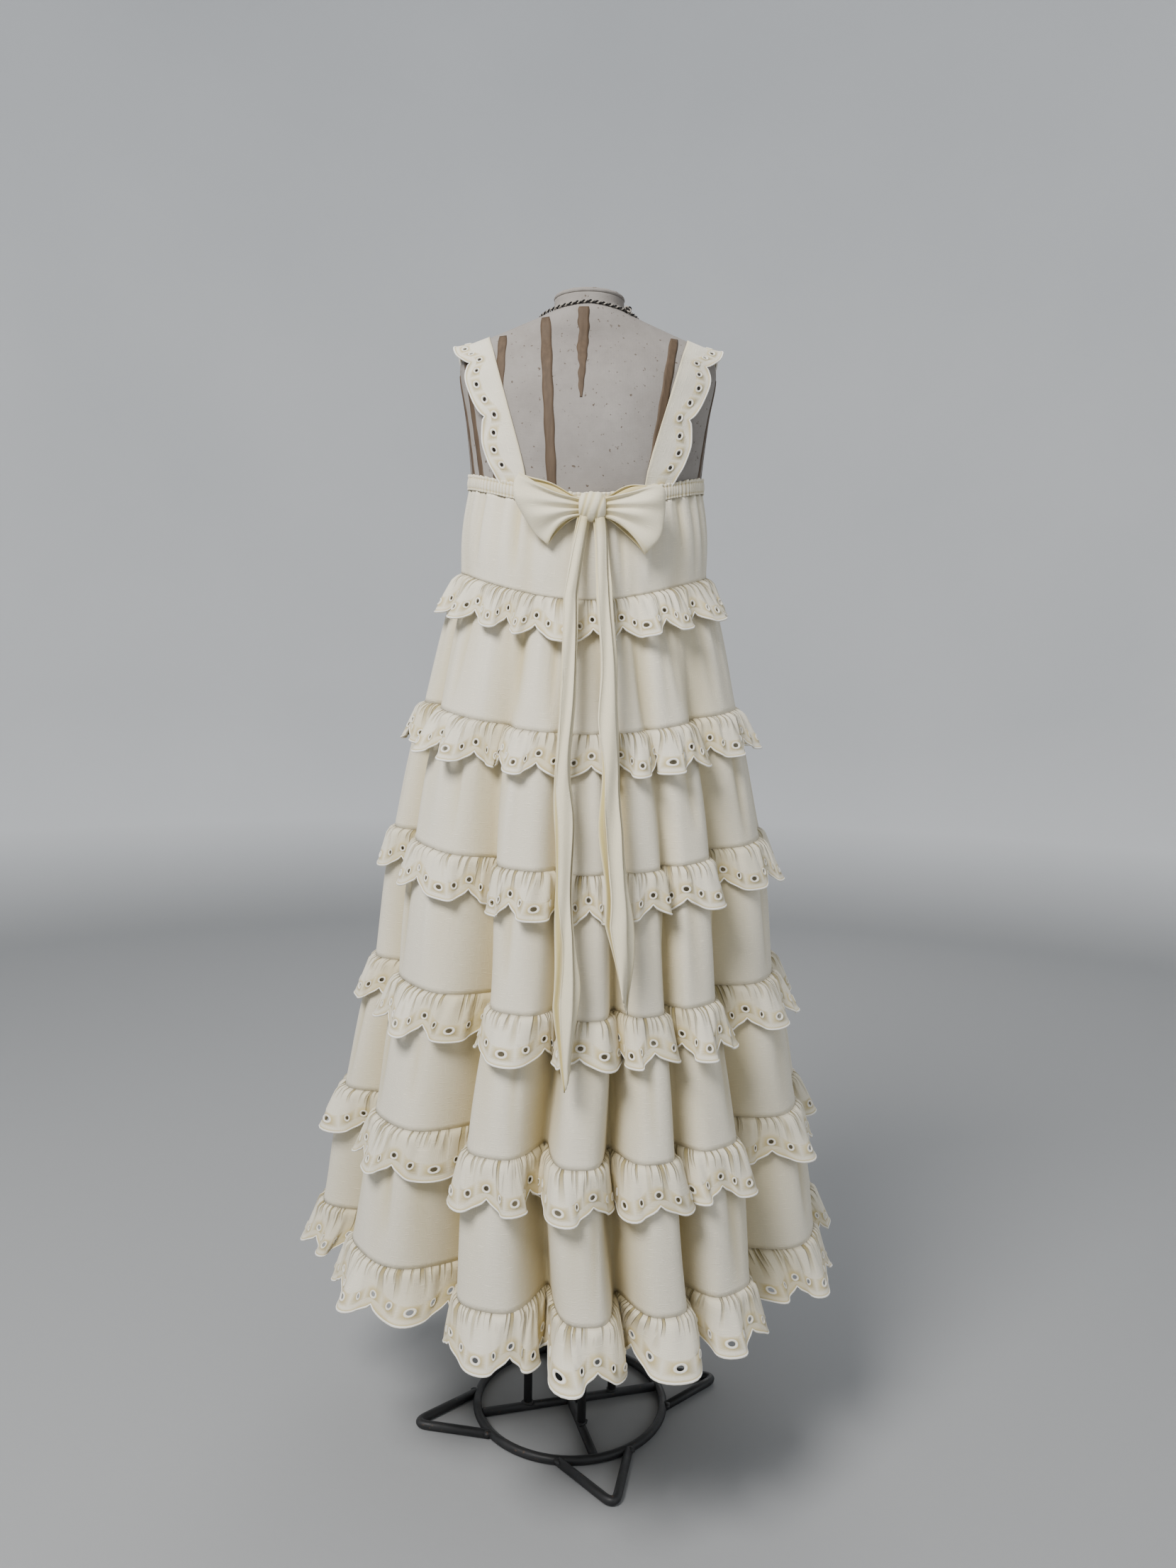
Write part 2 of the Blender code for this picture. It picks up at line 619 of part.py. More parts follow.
def foot_path(middle):
    """A foot's bent bar: from the ring out to a rounded point and back to the ring."""
    apex = np.array(polar(FOOT_RADIUS, middle))
    path = []
    arms = []
    for side in (-1, 1):
        joint = np.array(polar(RING_RADIUS, middle + side * FOOT_SPREAD))
        arm = (apex - joint) / np.linalg.norm(apex - joint)
        across = np.array((-arm[1], arm[0])) * BAR / 2
        clear = RING_RADIUS + BAR / 2 + GAP
        starts = []
        for corner in (joint + across, joint - across):
            toward = float(corner @ arm)
            starts.append(math.sqrt(toward**2 + clear**2 - float(corner @ corner)) - toward)
        arms.append((joint + arm * max(starts), apex - arm * FOOT_BEND))
    path.append(arms[0][0])
    for t in np.linspace(0, 1, FOOT_BEND_STEPS + 1):
        path.append((1 - t) ** 2 * arms[0][1] + 2 * t * (1 - t) * apex + t**2 * arms[1][1])
    path.append(arms[1][0])
    return path


def stand(material):
    """The base ring, its cross, four bent feet and four rods."""
    quarters = [STAND_TURN + 90 * i for i in range(4)]
    names = ("back", "right", "front", "left")
    ring = [polar(RING_RADIUS, STAND_TURN + 360 * i / RING_SIDES) for i in range(RING_SIDES)]
    floor_bar("stand_ring", ring, material, closed=True)
    # The ring's flat sides come in a little between their corners, so a bar's end stops short of them.
    inside = RING_RADIUS - BAR / 2 - GAP - BAR / 2 * math.tan(math.pi / RING_SIDES)
    floor_bar("stand_cross_long", [polar(inside, quarters[3]), polar(inside, quarters[1])], material)
    for i in (0, 2):
        start = polar(BAR / 2 + GAP, quarters[i])
        floor_bar(f"stand_cross_{names[i]}", [start, polar(inside, quarters[i])], material)
    for name, middle in zip(names, quarters):
        floor_bar(f"stand_foot_{name}", foot_path(middle), material)
        add_rod(f"stand_rod_{name}", polar(ROD_RADIUS, middle), material)


def add_rod(name, place, material):
    """An upright rod from the cross to the base of the form."""
    sides = BAR_SIDES
    low, high = BAR + GAP, FORM[0]["z"] - GAP
    points = []
    for z in (low, high):
        for j in range(sides):
            t = 2 * math.pi * (j + 0.5) / sides
            points.append((place[0] + BAR / 2 * math.cos(t), place[1] + BAR / 2 * math.sin(t), z))
    faces = [tuple(range(sides)), tuple(range(sides, 2 * sides))]
    for j in range(sides):
        k = (j + 1) % sides
        faces.append((j, k, sides + k, sides + j))
    add_solid(name, points, faces, material)


def dress():
    cloth = finish("cream_cloth", (0.80, 0.76, 0.66), 0.85)
    sash = finish("sash_cloth", (0.82, 0.77, 0.62), 0.82)
    _, bodice_top = casing(cloth)
    cloth_tube("bodice", tube_angles(1), bodice_top, 1, cloth)
    for number in range(1, len(RUFFLES)):
        cloth_tube(f"tier_{number}", tube_angles(number), number, number + 1, cloth)
    for number in range(1, len(RUFFLES) + 1):
        for half in ("left", "right"):
            ruffle_half(number, half, cloth)
    for side in ("left", "right"):
        strap(side, cloth)
    bow_knot(sash)
    for loop in LOOPS:
        bow_loop(loop, sash)
    for tail in TAILS:
        bow_tail(tail, sash)


def clear_scene():
    for obj in list(bpy.data.objects):
        bpy.data.objects.remove(obj)


clear_scene()
dress()
canvas = finish("form_canvas", (0.62, 0.60, 0.57), 0.9)
dress_form(canvas)
stand(finish("black_iron", (0.015, 0.015, 0.017), 0.45, 0.8))
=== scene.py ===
"""The finished look of a cream tiered maxi dress on a limbless dress form with an iron stand.

Metres, +Z up, the floor at z = 0. The garment's back faces -Y and +X is to the right as seen from behind.
Angles round the figure are degrees from the middle of the back, positive towards +X. A level is a place down
the dress: 0 is its top edge, 1 to 6 are its seams and 7 is the hem's edge.
"""

import math

import bpy
import numpy as np
from mathutils import Matrix, Vector


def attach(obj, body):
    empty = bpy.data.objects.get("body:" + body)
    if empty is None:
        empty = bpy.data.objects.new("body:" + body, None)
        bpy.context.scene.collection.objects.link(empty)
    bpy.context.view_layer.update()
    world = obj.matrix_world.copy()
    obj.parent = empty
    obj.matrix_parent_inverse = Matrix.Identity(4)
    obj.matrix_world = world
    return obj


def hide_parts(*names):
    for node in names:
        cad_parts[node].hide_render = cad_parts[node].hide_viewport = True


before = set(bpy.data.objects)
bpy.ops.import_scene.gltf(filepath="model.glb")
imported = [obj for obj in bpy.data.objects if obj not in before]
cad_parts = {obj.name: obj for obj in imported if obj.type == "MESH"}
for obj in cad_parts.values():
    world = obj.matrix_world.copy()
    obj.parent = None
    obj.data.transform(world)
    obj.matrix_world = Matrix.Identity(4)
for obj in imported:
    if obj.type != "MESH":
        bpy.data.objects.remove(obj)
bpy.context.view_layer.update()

# Studio: a pale floor that turns up into a pale wall all round, three large soft lamps and an open sky above.
# The camera stands behind the dress at chest height, where the photograph was taken from.
FLOOR_RADIUS = 3.4
FLOOR_MIDDLE = 0.02  # radius of the cap that closes the middle of the floor
COVE_RADIUS = 0.9
COVE_SIDES = 96
WALL_TOP = 4.6
FLOOR_COLOUR = (0.32, 0.325, 0.33, 1)
WALL_COLOURS = ((0.66, 0.675, 0.69, 1), (0.78, 0.79, 0.80, 1))
BLEND_HEIGHT = 0.35  # height over which the floor's colour turns into the wall's
CAMERA_PLACE = (0.0098, -1.612, 1.049)
CAMERA_LENS_MM = 27.02
CAMERA_TILT = 84.7  # degrees up from looking straight down
CAMERA_ROLL = 1.04  # degrees
LAMP_AIM = (0, 0, 0.85)
LAMPS = (  # name, place, size in metres, watts, colour
    ("key", (-1.3, -2.0, 3.3), 1.5, 172, (1.0, 0.985, 0.965)),
    ("fill", (2.5, -2.2, 1.6), 2.0, 10, (0.95, 0.97, 1.0)),
    ("far", (0.6, 2.7, 2.8), 2.2, 26, (1.0, 0.98, 0.95)),
)
SKY_COLOUR = (0.86, 0.92, 1.0, 1)
SKY_STRENGTH = 0.47


def feed(tree, socket, value):
    """Links a socket to another one, or sets it to a value."""
    if isinstance(value, bpy.types.NodeSocket):
        tree.links.new(value, socket)
    else:
        socket.default_value = value


def add_node(tree, kind, inputs=None, **settings):
    """A node with its settings, and its inputs linked to a socket or set to a value."""
    node = tree.nodes.new(kind)
    for name, value in settings.items():
        setattr(node, name, value)
    for name, value in (inputs or {}).items():
        feed(tree, node.inputs[name], value)
    return node


def new_material(name, roughness, sheen=0.0, specular=0.5):
    """A Principled material, its tree, its shader node and its Object coordinates."""
    material = bpy.data.materials.new(name)
    material.use_nodes = True
    tree = material.node_tree
    shader = tree.nodes["Principled BSDF"]
    settings = {
        "Roughness": roughness,
        "Sheen Weight": sheen,
        "Sheen Roughness": 0.6,
        "Specular IOR Level": specular,
    }
    for socket, value in settings.items():
        shader.inputs[socket].default_value = value
    return material, tree, shader, add_node(tree, "ShaderNodeTexCoord").outputs["Object"]


def mixed(tree, share, first, second):
    """The colour output of a Mix node between two colours."""
    node = add_node(tree, "ShaderNodeMix", data_type="RGBA")
    kinds = ("RGBA", "VALUE")
    for name, value in (("Factor", share), ("A", first), ("B", second)):
        feed(tree, next(s for s in node.inputs if s.name == name and s.type in kinds and s.enabled), value)
    return next(s for s in node.outputs if s.type == "RGBA")


def noise(tree, place, scale, detail, **more):
    """The strength of a noise pattern."""
    inputs = {"Vector": place, "Scale": scale, "Detail": detail, **more}
    return add_node(tree, "ShaderNodeTexNoise", inputs).outputs["Fac"]


def stretched(tree, place, scale):
    """Coordinates scaled along each axis."""
    return add_node(tree, "ShaderNodeMapping", {"Vector": place, "Scale": scale}).outputs["Vector"]


def ramp(tree, value, low, high, start=0.0, end=1.0):
    """A value's rise from low to high, turned into one from start to end."""
    inputs = {"Value": value, "From Min": low, "From Max": high, "To Min": start, "To Max": end}
    return add_node(tree, "ShaderNodeMapRange", inputs).outputs["Result"]


def worked(tree, operation, *values):
    """The result of a Math node."""
    return add_node(tree, "ShaderNodeMath", dict(enumerate(values)), operation=operation).outputs[0]


def finish_looks(tree, shader, colour, height, strength, distance, under=None):
    """Gives the shader its colour and the bump of a height, laid on another bump where there is one."""
    bump = add_node(tree, "ShaderNodeBump", {"Height": height, "Strength": strength, "Distance": distance})
    if under is not None:
        feed(tree, bump.inputs["Normal"], under)
    feed(tree, shader.inputs["Base Color"], colour)
    feed(tree, shader.inputs["Normal"], bump.outputs["Normal"])


def unit(vectors):
    """Vectors brought to length one."""
    return vectors / np.maximum(np.linalg.norm(vectors, axis=-1), 1e-12)[..., None]


def eased(share):
    """A share from 0 to 1 that leaves and arrives level: 3 of its square less 2 of its cube."""
    return share * share * (3 - 2 * share)


def together(*values):
    """Arrays of one number for each point, put side by side in a new last axis."""
    return np.stack(np.broadcast_arrays(*values), axis=-1)


def build_mesh(name, points, quads, material, flat=None, round_length=None, marks=None, caps=()):
    """An object from arrays of points and four-sided faces, with any larger caps, shaded smooth.

    flat holds each point's place on the uncut cloth in metres, which becomes the UV map. Where a strip closes
    on itself after round_length, a face across that join gets its places from one side of it.
    """
    corners = np.concatenate([quads.ravel(), *[np.array(c) for c in caps]])
    used, loops = np.unique(corners, return_inverse=True)
    points = points.reshape(-1, 3)[used]
    loops = loops.astype(np.int32)
    totals = np.array([4] * len(quads) + [len(c) for c in caps], np.int32)
    starts = np.concatenate([[0], np.cumsum(totals)[:-1]]).astype(np.int32)
    mesh = bpy.data.meshes.new(name)
    mesh.vertices.add(len(points))
    mesh.vertices.foreach_set("co", points.astype(np.float32).ravel())
    mesh.loops.add(len(loops))
    mesh.loops.foreach_set("vertex_index", loops)
    mesh.polygons.add(len(totals))
    mesh.polygons.foreach_set("loop_start", starts)
    mesh.polygons.foreach_set("loop_total", totals)
    mesh.update(calc_edges=True)
    mesh.shade_smooth()
    if flat is not None:
        places = flat.reshape(-1, 2)[used][loops]
        if round_length:
            corners = places[: len(quads) * 4].reshape(-1, 4, 2)
            across = np.ptp(corners[..., 0], axis=1) > round_length / 2
            shift = across[:, None] & (corners[..., 0] < round_length / 2)
            corners[..., 0] += shift * round_length
            places = np.concatenate([corners.reshape(-1, 2), places[len(quads) * 4 :]])
        layer = mesh.uv_layers.new(name="flat")
        layer.data.foreach_set("uv", places.astype(np.float32).ravel())
    if marks is not None:
        colours = np.concatenate([marks.reshape(-1, 3)[used], np.ones((len(points), 1))], axis=1)
        attribute = mesh.color_attributes.new("marks", "FLOAT_COLOR", "POINT")
        attribute.data.foreach_set("color", colours.astype(np.float32).ravel())
    mesh.materials.append(material)
    obj = bpy.data.objects.new(name, mesh)
    bpy.context.scene.collection.objects.link(obj)
    return obj


def grid_quads(rows, columns, closed=False, flip=False):
    """Faces of a grid of points, rows running down and columns to the right as seen from outside."""
    spans = columns if closed else columns - 1
    row, column = (a.ravel() for a in np.meshgrid(np.arange(rows - 1), np.arange(spans), indexing="ij"))
    after = (column + 1) % columns
    above, below = row * columns, (row + 1) * columns
    quads = np.stack([above + column, below + column, below + after, above + after], axis=1)
    return quads[:, ::-1] if flip else quads


def end_caps(rings, sides):
    """The two faces that close the first and the last ring of a tube."""
    return [list(range(sides)), list(range((rings - 1) * sides, rings * sides))[::-1]]


def turned(reach, z, sides):
    """Rings round the z axis: reach and z are arrays, one ring for each."""
    turn = np.linspace(0, 2 * np.pi, sides, endpoint=False)
    reach = np.asarray(reach)[:, None]
    return together(reach * np.sin(turn), -reach * np.cos(turn), np.asarray(z)[:, None])


def make_cove():
    """A disc of floor, a quarter circle up from its edge, and a wall, in plaster that clouds a little."""
    turn = np.linspace(0, np.pi / 2, 12)
    edge = FLOOR_RADIUS + COVE_RADIUS * np.sin(turn)
    reach = np.concatenate([[FLOOR_MIDDLE, 1, 2], edge, [FLOOR_RADIUS + COVE_RADIUS]])
    z = np.concatenate([[0, 0, 0], COVE_RADIUS * (1 - np.cos(turn)), [WALL_TOP]])
    points = turned(reach, z - 0.0005, COVE_SIDES)
    material, tree, shader, place = new_material("studio plaster", 0.85)
    wall = mixed(tree, noise(tree, place, 0.9, 5.0), *WALL_COLOURS)
    z_place = add_node(tree, "ShaderNodeSeparateXYZ", {"Vector": place}).outputs["Z"]
    colour = mixed(tree, ramp(tree, z_place, 0.0, BLEND_HEIGHT), FLOOR_COLOUR, wall)
    finish_looks(tree, shader, colour, noise(tree, place, 60.0, 3.0), 0.15, 0.002)
    quads = grid_quads(len(reach), COVE_SIDES, closed=True)
    build_mesh("studio_cove", points, quads, material, caps=[list(range(COVE_SIDES))])


def make_lights():
    """The lamps, each a soft disc turned to the dress, and the sky."""
    for name, place, size, watts, colour in LAMPS:
        lamp = bpy.data.lights.new(name, "AREA")
        lamp.shape = "DISK"
        lamp.size = size
        lamp.energy = watts
        lamp.color = colour
        holder = bpy.data.objects.new(name, lamp)
        holder.location = place
        aim = Vector(LAMP_AIM) - holder.location
        holder.rotation_euler = aim.to_track_quat("-Z", "Y").to_euler()
        holder.visible_camera = False
        bpy.context.scene.collection.objects.link(holder)
    world = bpy.data.worlds.new("open sky")
    world.use_nodes = True
    sky = world.node_tree.nodes["Background"]
    sky.inputs["Color"].default_value = SKY_COLOUR
    sky.inputs["Strength"].default_value = SKY_STRENGTH
    bpy.context.scene.world = world


def make_camera():
    """The photograph's view of the dress."""
    lens = bpy.data.cameras.new("behind the dress")
    lens.lens = CAMERA_LENS_MM
    camera = bpy.data.objects.new("behind the dress", lens)
    tilt = Matrix.Rotation(math.radians(CAMERA_TILT), 4, "X")
    roll = Matrix.Rotation(math.radians(CAMERA_ROLL), 4, "Z")
    camera.matrix_world = Matrix.Translation(CAMERA_PLACE) @ tilt @ roll
    bpy.context.scene.collection.objects.link(camera)
    bpy.context.scene.camera = camera


make_cove()
make_lights()
make_camera()

# The stand: round iron bar, cut and welded, all of it flat on the floor but for the four uprights. It is
# painted black, a little worn, with a bead of weld where bars meet.
BAR = 0.012  # the bar's diameter
BAR_SIDES = 20
RING_RADIUS = 0.1335
RING_SEGMENTS = 96
STAND_TURN = 15.5  # degrees by which the cross and the feet are turned
ROD_RADIUS = 0.0625  # distance of each rod from the middle
FOOT_RADIUS = 0.226  # where a foot's two arms would meet
FOOT_SPREAD = 22.5  # degrees either way at which they leave the ring
FOOT_BEND = 0.022  # length of arm that the bend takes up
FORM_BASE = 0.800
TOUCH = 0.0003  # gap left between bars that meet
BEAD_ROWS, BEAD_SIDES = 7, 14
ROD_BEAD = (0.0085, 0.0085, 0.003)
FOOT_BEAD = (0.006, 0.006, 0.004)
QUARTERS = {name: STAND_TURN + 90 * i for i, name in enumerate(("back", "right", "front", "left"))}


def polar(reach, degrees):
    """(x, y) at a distance from the middle and an angle from the back."""
    turn = np.radians(degrees)
    return np.stack([reach * np.sin(turn), -reach * np.cos(turn)], axis=-1)


def iron_paint():
    """Black paint on iron: faint brush ripple, dust in patches and small rusty chips."""
    material, tree, shader, place = new_material("black painted iron", 0.5, specular=0.45)
    dust = noise(tree, place, 34.0, 6.0)
    chips = ramp(tree, noise(tree, place, 190.0, 4.0), 0.66, 0.70)
    dusty = mixed(tree, dust, (0.008, 0.009, 0.010, 1), (0.034, 0.034, 0.035, 1))
    colour = mixed(tree, chips, dusty, (0.075, 0.045, 0.030, 1))
    feed(tree, shader.inputs["Roughness"], ramp(tree, dust, 0.3, 0.7, 0.38, 0.68))
    finish_looks(tree, shader, colour, noise(tree, place, 260.0, 2.0), 0.35, 0.0006)
    return material


def bar_along(name, path, material, closed=False, radius=BAR / 2):
    """A round bar: circles set square to a path of points, each turned to halve the bend there."""
    ahead = np.roll(path, -1, axis=0) - path
    behind = path - np.roll(path, 1, axis=0)
    if not closed:
        ahead[-1] = behind[-1]
        behind[0] = ahead[0]
    ahead, behind = unit(ahead), unit(behind)
    along = unit(ahead + behind)
    guide = np.where(np.abs(along[:, 2:]) < 0.9, [[0, 0, 1.0]], [[0, 1.0, 0]])
    side = unit(np.cross(along, guide))
    up = np.cross(side, along)
    mitre = 1 / (along * ahead).sum(axis=1)
    turn = np.linspace(0, 2 * np.pi, BAR_SIDES, endpoint=False)
    ring = side[:, None] * (np.cos(turn) * radius)[None, :, None] * mitre[:, None, None]
    ring = ring + up[:, None] * (np.sin(turn) * radius)[None, :, None]
    quads, caps = grid_quads(len(path), BAR_SIDES, closed=True), end_caps(len(path), BAR_SIDES)
    if closed:
        first = np.arange(BAR_SIDES)
        last = first + (len(path) - 1) * BAR_SIDES
        join = np.stack([last, first, np.roll(first, -1), np.roll(last, -1)], axis=1)
        quads, caps = np.concatenate([quads, join]), []
    return face_out(build_mesh(name, path[:, None] + ring, quads, material, caps=caps))


def face_out(obj):
    """Turns a closed mesh's faces outward where its signed volume says that they point in."""
    mesh = obj.data
    points = np.empty(len(mesh.vertices) * 3)
    mesh.vertices.foreach_get("co", points)
    mesh.calc_loop_triangles()
    corners = np.empty(len(mesh.loop_triangles) * 3, np.int32)
    mesh.loop_triangles.foreach_get("vertices", corners)
    a, b, c = points.reshape(-1, 3)[corners].reshape(-1, 3, 3).transpose(1, 0, 2)
    if (a * np.cross(b, c)).sum() < 0:
        mesh.flip_normals()
    return obj


def on_floor(path):
    """A bar's path through (x, y) points, with the bar's underside at rest on the floor."""
    return np.concatenate([path, np.full((len(path), 1), BAR / 2)], axis=1)


def foot_path(middle):
    """From the ring out to a bent point and back: two straight arms and a parabola between them."""
    apex = polar(FOOT_RADIUS, middle)
    joints = [polar(RING_RADIUS, middle + side * FOOT_SPREAD) for side in (-1, 1)]
    arms = [(apex - joint) / np.linalg.norm(apex - joint) for joint in joints]
    starts = [joint + arm * BAR * 0.42 for joint, arm in zip(joints, arms)]
    low, high = (apex - arm * FOOT_BEND for arm in arms)
    t = np.linspace(0, 1, 13)[:, None]
    bend = (1 - t) ** 2 * low + 2 * t * (1 - t) * apex + t**2 * high
    return on_floor(np.concatenate([[starts[0]], bend, [starts[1]]]))


def weld_bead(name, place, size, material):
    """A lump of weld: a squashed ball whose reach is roughened by two waves."""
    turn = np.linspace(0, 2 * np.pi, BEAD_SIDES, endpoint=False)
    rise = np.linspace(-np.pi / 2 + 0.15, np.pi / 2 - 0.15, BEAD_ROWS)[:, None]
    rough = 1 + 0.13 * np.sin(3 * turn + 40 * place[0]) + 0.1 * np.sin(5 * turn + 30 * place[1])
    x = size[0] * rough * np.cos(rise) * np.cos(turn)
    y = size[1] * rough * np.cos(rise) * np.sin(turn)
    points = together(x, y, size[2] * np.sin(rise)) + place
    quads = grid_quads(BEAD_ROWS, BEAD_SIDES, closed=True)
    return face_out(build_mesh(name, points, quads, material, caps=end_caps(BEAD_ROWS, BEAD_SIDES)))


def make_stand():
    """Ring, cross, four feet and four rods, each standing for its own node, and the beads of weld."""
    paint = iron_paint()
    made = []
    ring = on_floor(polar(RING_RADIUS, np.linspace(0, 360, RING_SEGMENTS, endpoint=False)))
    made.append((bar_along("stand_ring_bar", ring, paint, closed=True), "stand_ring"))
    inside = RING_RADIUS - BAR / 2
    ends = on_floor(np.stack([polar(inside, QUARTERS["left"]), polar(inside, QUARTERS["right"])]))
    made.append((bar_along("stand_long_bar", ends, paint), "stand_cross_long"))
    for name in ("back", "front"):
        half = on_floor(np.stack([polar(BAR / 2, QUARTERS[name]), polar(inside, QUARTERS[name])]))
        made.append((bar_along(f"stand_half_bar_{name}", half, paint), f"stand_cross_{name}"))
    for name, middle in QUARTERS.items():
        made.append((bar_along(f"stand_bent_foot_{name}", foot_path(middle), paint), f"stand_foot_{name}"))
        rod = np.stack([np.append(polar(ROD_RADIUS, middle), z) for z in (BAR + TOUCH, FORM_BASE - TOUCH)])
        made.append((bar_along(f"stand_upright_{name}", rod, paint), f"stand_rod_{name}"))
        beads = [(polar(ROD_RADIUS, middle), BAR, ROD_BEAD)]
        for side in (-1, 1):
            joint = polar(RING_RADIUS + BAR / 2, middle + side * (FOOT_SPREAD - 1.5))
            beads.append((joint, 0.008, FOOT_BEAD))
        for number, (spot, z, size) in enumerate(beads):
            bead = weld_bead(f"stand_weld_{name}_{number}", np.append(spot, z), size, paint)
            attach(bead, "root")
    for piece, node in made:
        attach(piece, "root")
        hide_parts(node)


make_stand()

# The dress form: a papier-mache torso covered with flecked off-white canvas, with brown paper tape down its
# seams, a covered neck cap, and black and white twisted cord round the neck.
FORM = np.array(  # height, half width and half depth of each ring
    [
        (0.800, 0.140, 0.098),
        (0.812, 0.150, 0.106),
        (0.900, 0.158, 0.114),
        (0.980, 0.146, 0.108),
        (1.070, 0.116, 0.088),
        (1.160, 0.134, 0.102),
        (1.240, 0.149, 0.1125),
        (1.310, 0.1535, 0.1130),
        (1.380, 0.161, 0.104),
        (1.435, 0.170, 0.086),
        (1.462, 0.168, 0.070),
        (1.478, 0.156, 0.060),
        (1.499, 0.107, 0.057),
        (1.517, 0.063, 0.054),
        (1.527, 0.048, 0.048),
        (1.540, 0.046, 0.046),
    ]
)
FORM_ROWS, FORM_SIDES = 150, 96
NECK_FOOT = 1.5403
NECK_TOP = 1.550
NECK_RADIUS = 0.047
CAP_SIDES = 64
CAP_RISE = np.array([0.0, 0.10, 0.25, 0.45, 0.62, 0.75, 0.86, 0.94, 1.0])  # shares of the cap's height
CAP_REACH = np.array([0.955, 0.985, 1.0, 0.99, 0.955, 0.88, 0.70, 0.42, 0.12])  # shares of its radius there
TAPE_WIDTH = 0.0115
TAPES = (  # at the sides and in front: angle at the shoulder and below, then the heights of both ends
    (-84, -73, 1.440, 1.27),
    (-97, -84, 1.440, 1.27),
    (86, 73, 1.440, 1.27),
    (99, 84, 1.440, 1.27),
    (150, 152, 1.500, 1.25),
    (-150, -152, 1.500, 1.25),
    (112, 128, 1.470, 1.26),
    (-112, -128, 1.470, 1.26),
)
STRAIGHT_TAPES = (  # on the back, straight as seen from behind: x at the top and the foot, then both heights
    (-0.111, -0.115, 1.485, 1.27),
    (-0.160, -0.130, 1.455, 1.27),
    (-0.056, -0.0396, 1.508, 1.24),
    (0.1115, 0.0732, 1.485, 1.24),
)
RAGGED_TAPE = (-0.0060, -0.0080, 1.519, 1.395)
CORD_RADIUS = 0.0021
CORD_LAY = 0.0085  # length of one turn of a strand
CORD_STEP = 0.0011
STRAND_SIDES = 6
CORD_KNOT_ANGLE, CORD_KNOT_HEIGHT = 52.0, 1.518  # of the neck cord's small knot
CORD_KNOT_STAND_OFF, CORD_KNOT_REACH = 0.0045, 0.0032


def spline(table, place):
    """Catmull-Rom values of a table's rows at places counted in rows."""
    ends = np.concatenate([[2 * table[0] - table[1]], table, [2 * table[-1] - table[-2]]])
    place = np.clip(np.asarray(place, float), 0, len(table) - 1)
    first = np.minimum(place.astype(int), len(table) - 2)
    t = (place - first)[..., None]
    before, start, end, after = (ends[first + i] for i in range(4))
    return 0.5 * (
        2 * start
        + (end - before) * t
        + (2 * before - 5 * start + 4 * end - after) * t**2
        + (3 * start - before - 3 * end + after) * t**3
    )


FORM_FINE = spline(FORM, np.linspace(0, len(FORM) - 1, 400))


def form_reach(z):
    """Half width and half depth of the form at a height."""
    return np.interp(z, FORM_FINE[:, 0], FORM_FINE[:, 1]), np.interp(z, FORM_FINE[:, 0], FORM_FINE[:, 2])


def form_point(degrees, z, lift=0.0):
    """A point on the form at an angle and height, lifted off along its outward direction."""
    wide, deep = form_reach(z)
    turn = np.radians(degrees)
    out = unit(together(np.sin(turn) / wide, -np.cos(turn) / deep, 0 * z))
    on = together(wide * np.sin(turn), -deep * np.cos(turn), z)
    rise = 0.002
    (wide_above, deep_above), (wide_below, deep_below) = form_reach(z + rise), form_reach(z - rise)
    tilt = np.arctan2(deep_above - deep_below, 2 * rise) * np.cos(turn) ** 2
    tilt = tilt + np.arctan2(wide_above - wide_below, 2 * rise) * np.sin(turn) ** 2
    out = out * np.cos(tilt)[..., None]
    out[..., 2] = -np.sin(tilt)
    return on + out * np.asarray(lift)[..., None]


def crossed_threads(tree, place, scale, distortion, directions, **more):
    """The height of a plain weave: two sets of waves across each other, added up."""
    inputs = {"Vector": place, "Scale": scale, "Distortion": distortion, **more}
    waves = []
    for direction in directions:
        wave = add_node(tree, "ShaderNodeTexWave", inputs, bands_direction=direction)
        waves.append(wave.outputs["Fac"])
    return worked(tree, "ADD", *waves)


def canvas_cloth():
    """Old canvas: a coarse even weave, rubbed grey patches, and dark flecks of husk in the thread."""
    material, tree, shader, place = new_material("flecked canvas", 0.9, specular=0.25)
    patch = ramp(tree, noise(tree, place, 9.0, 8.0, Roughness=0.7), 0.35, 0.68)
    fleck = ramp(tree, noise(tree, place, 190.0, 2.0), 0.67, 0.72)
    pale = mixed(tree, patch, (0.235, 0.213, 0.194, 1), (0.32, 0.296, 0.272, 1))
    colour = mixed(tree, fleck, pale, (0.12, 0.095, 0.075, 1))
    finish_looks(tree, shader, colour, crossed_threads(tree, place, 260.0, 1.2, "XZ"), 0.25, 0.0004)
    return material


def paper_tape():
    """Brown gummed paper: fibres along the tape and darker blots where the glue came through."""
    material, tree, shader, place = new_material("brown paper tape", 0.7, specular=0.3)
    fibres = noise(tree, stretched(tree, place, (220, 220, 26)), 1.0, 5.0)
    colour = mixed(tree, fibres, (0.052, 0.034, 0.020, 1), (0.125, 0.084, 0.052, 1))
    finish_looks(tree, shader, colour, fibres, 0.3, 0.0004)
    return material


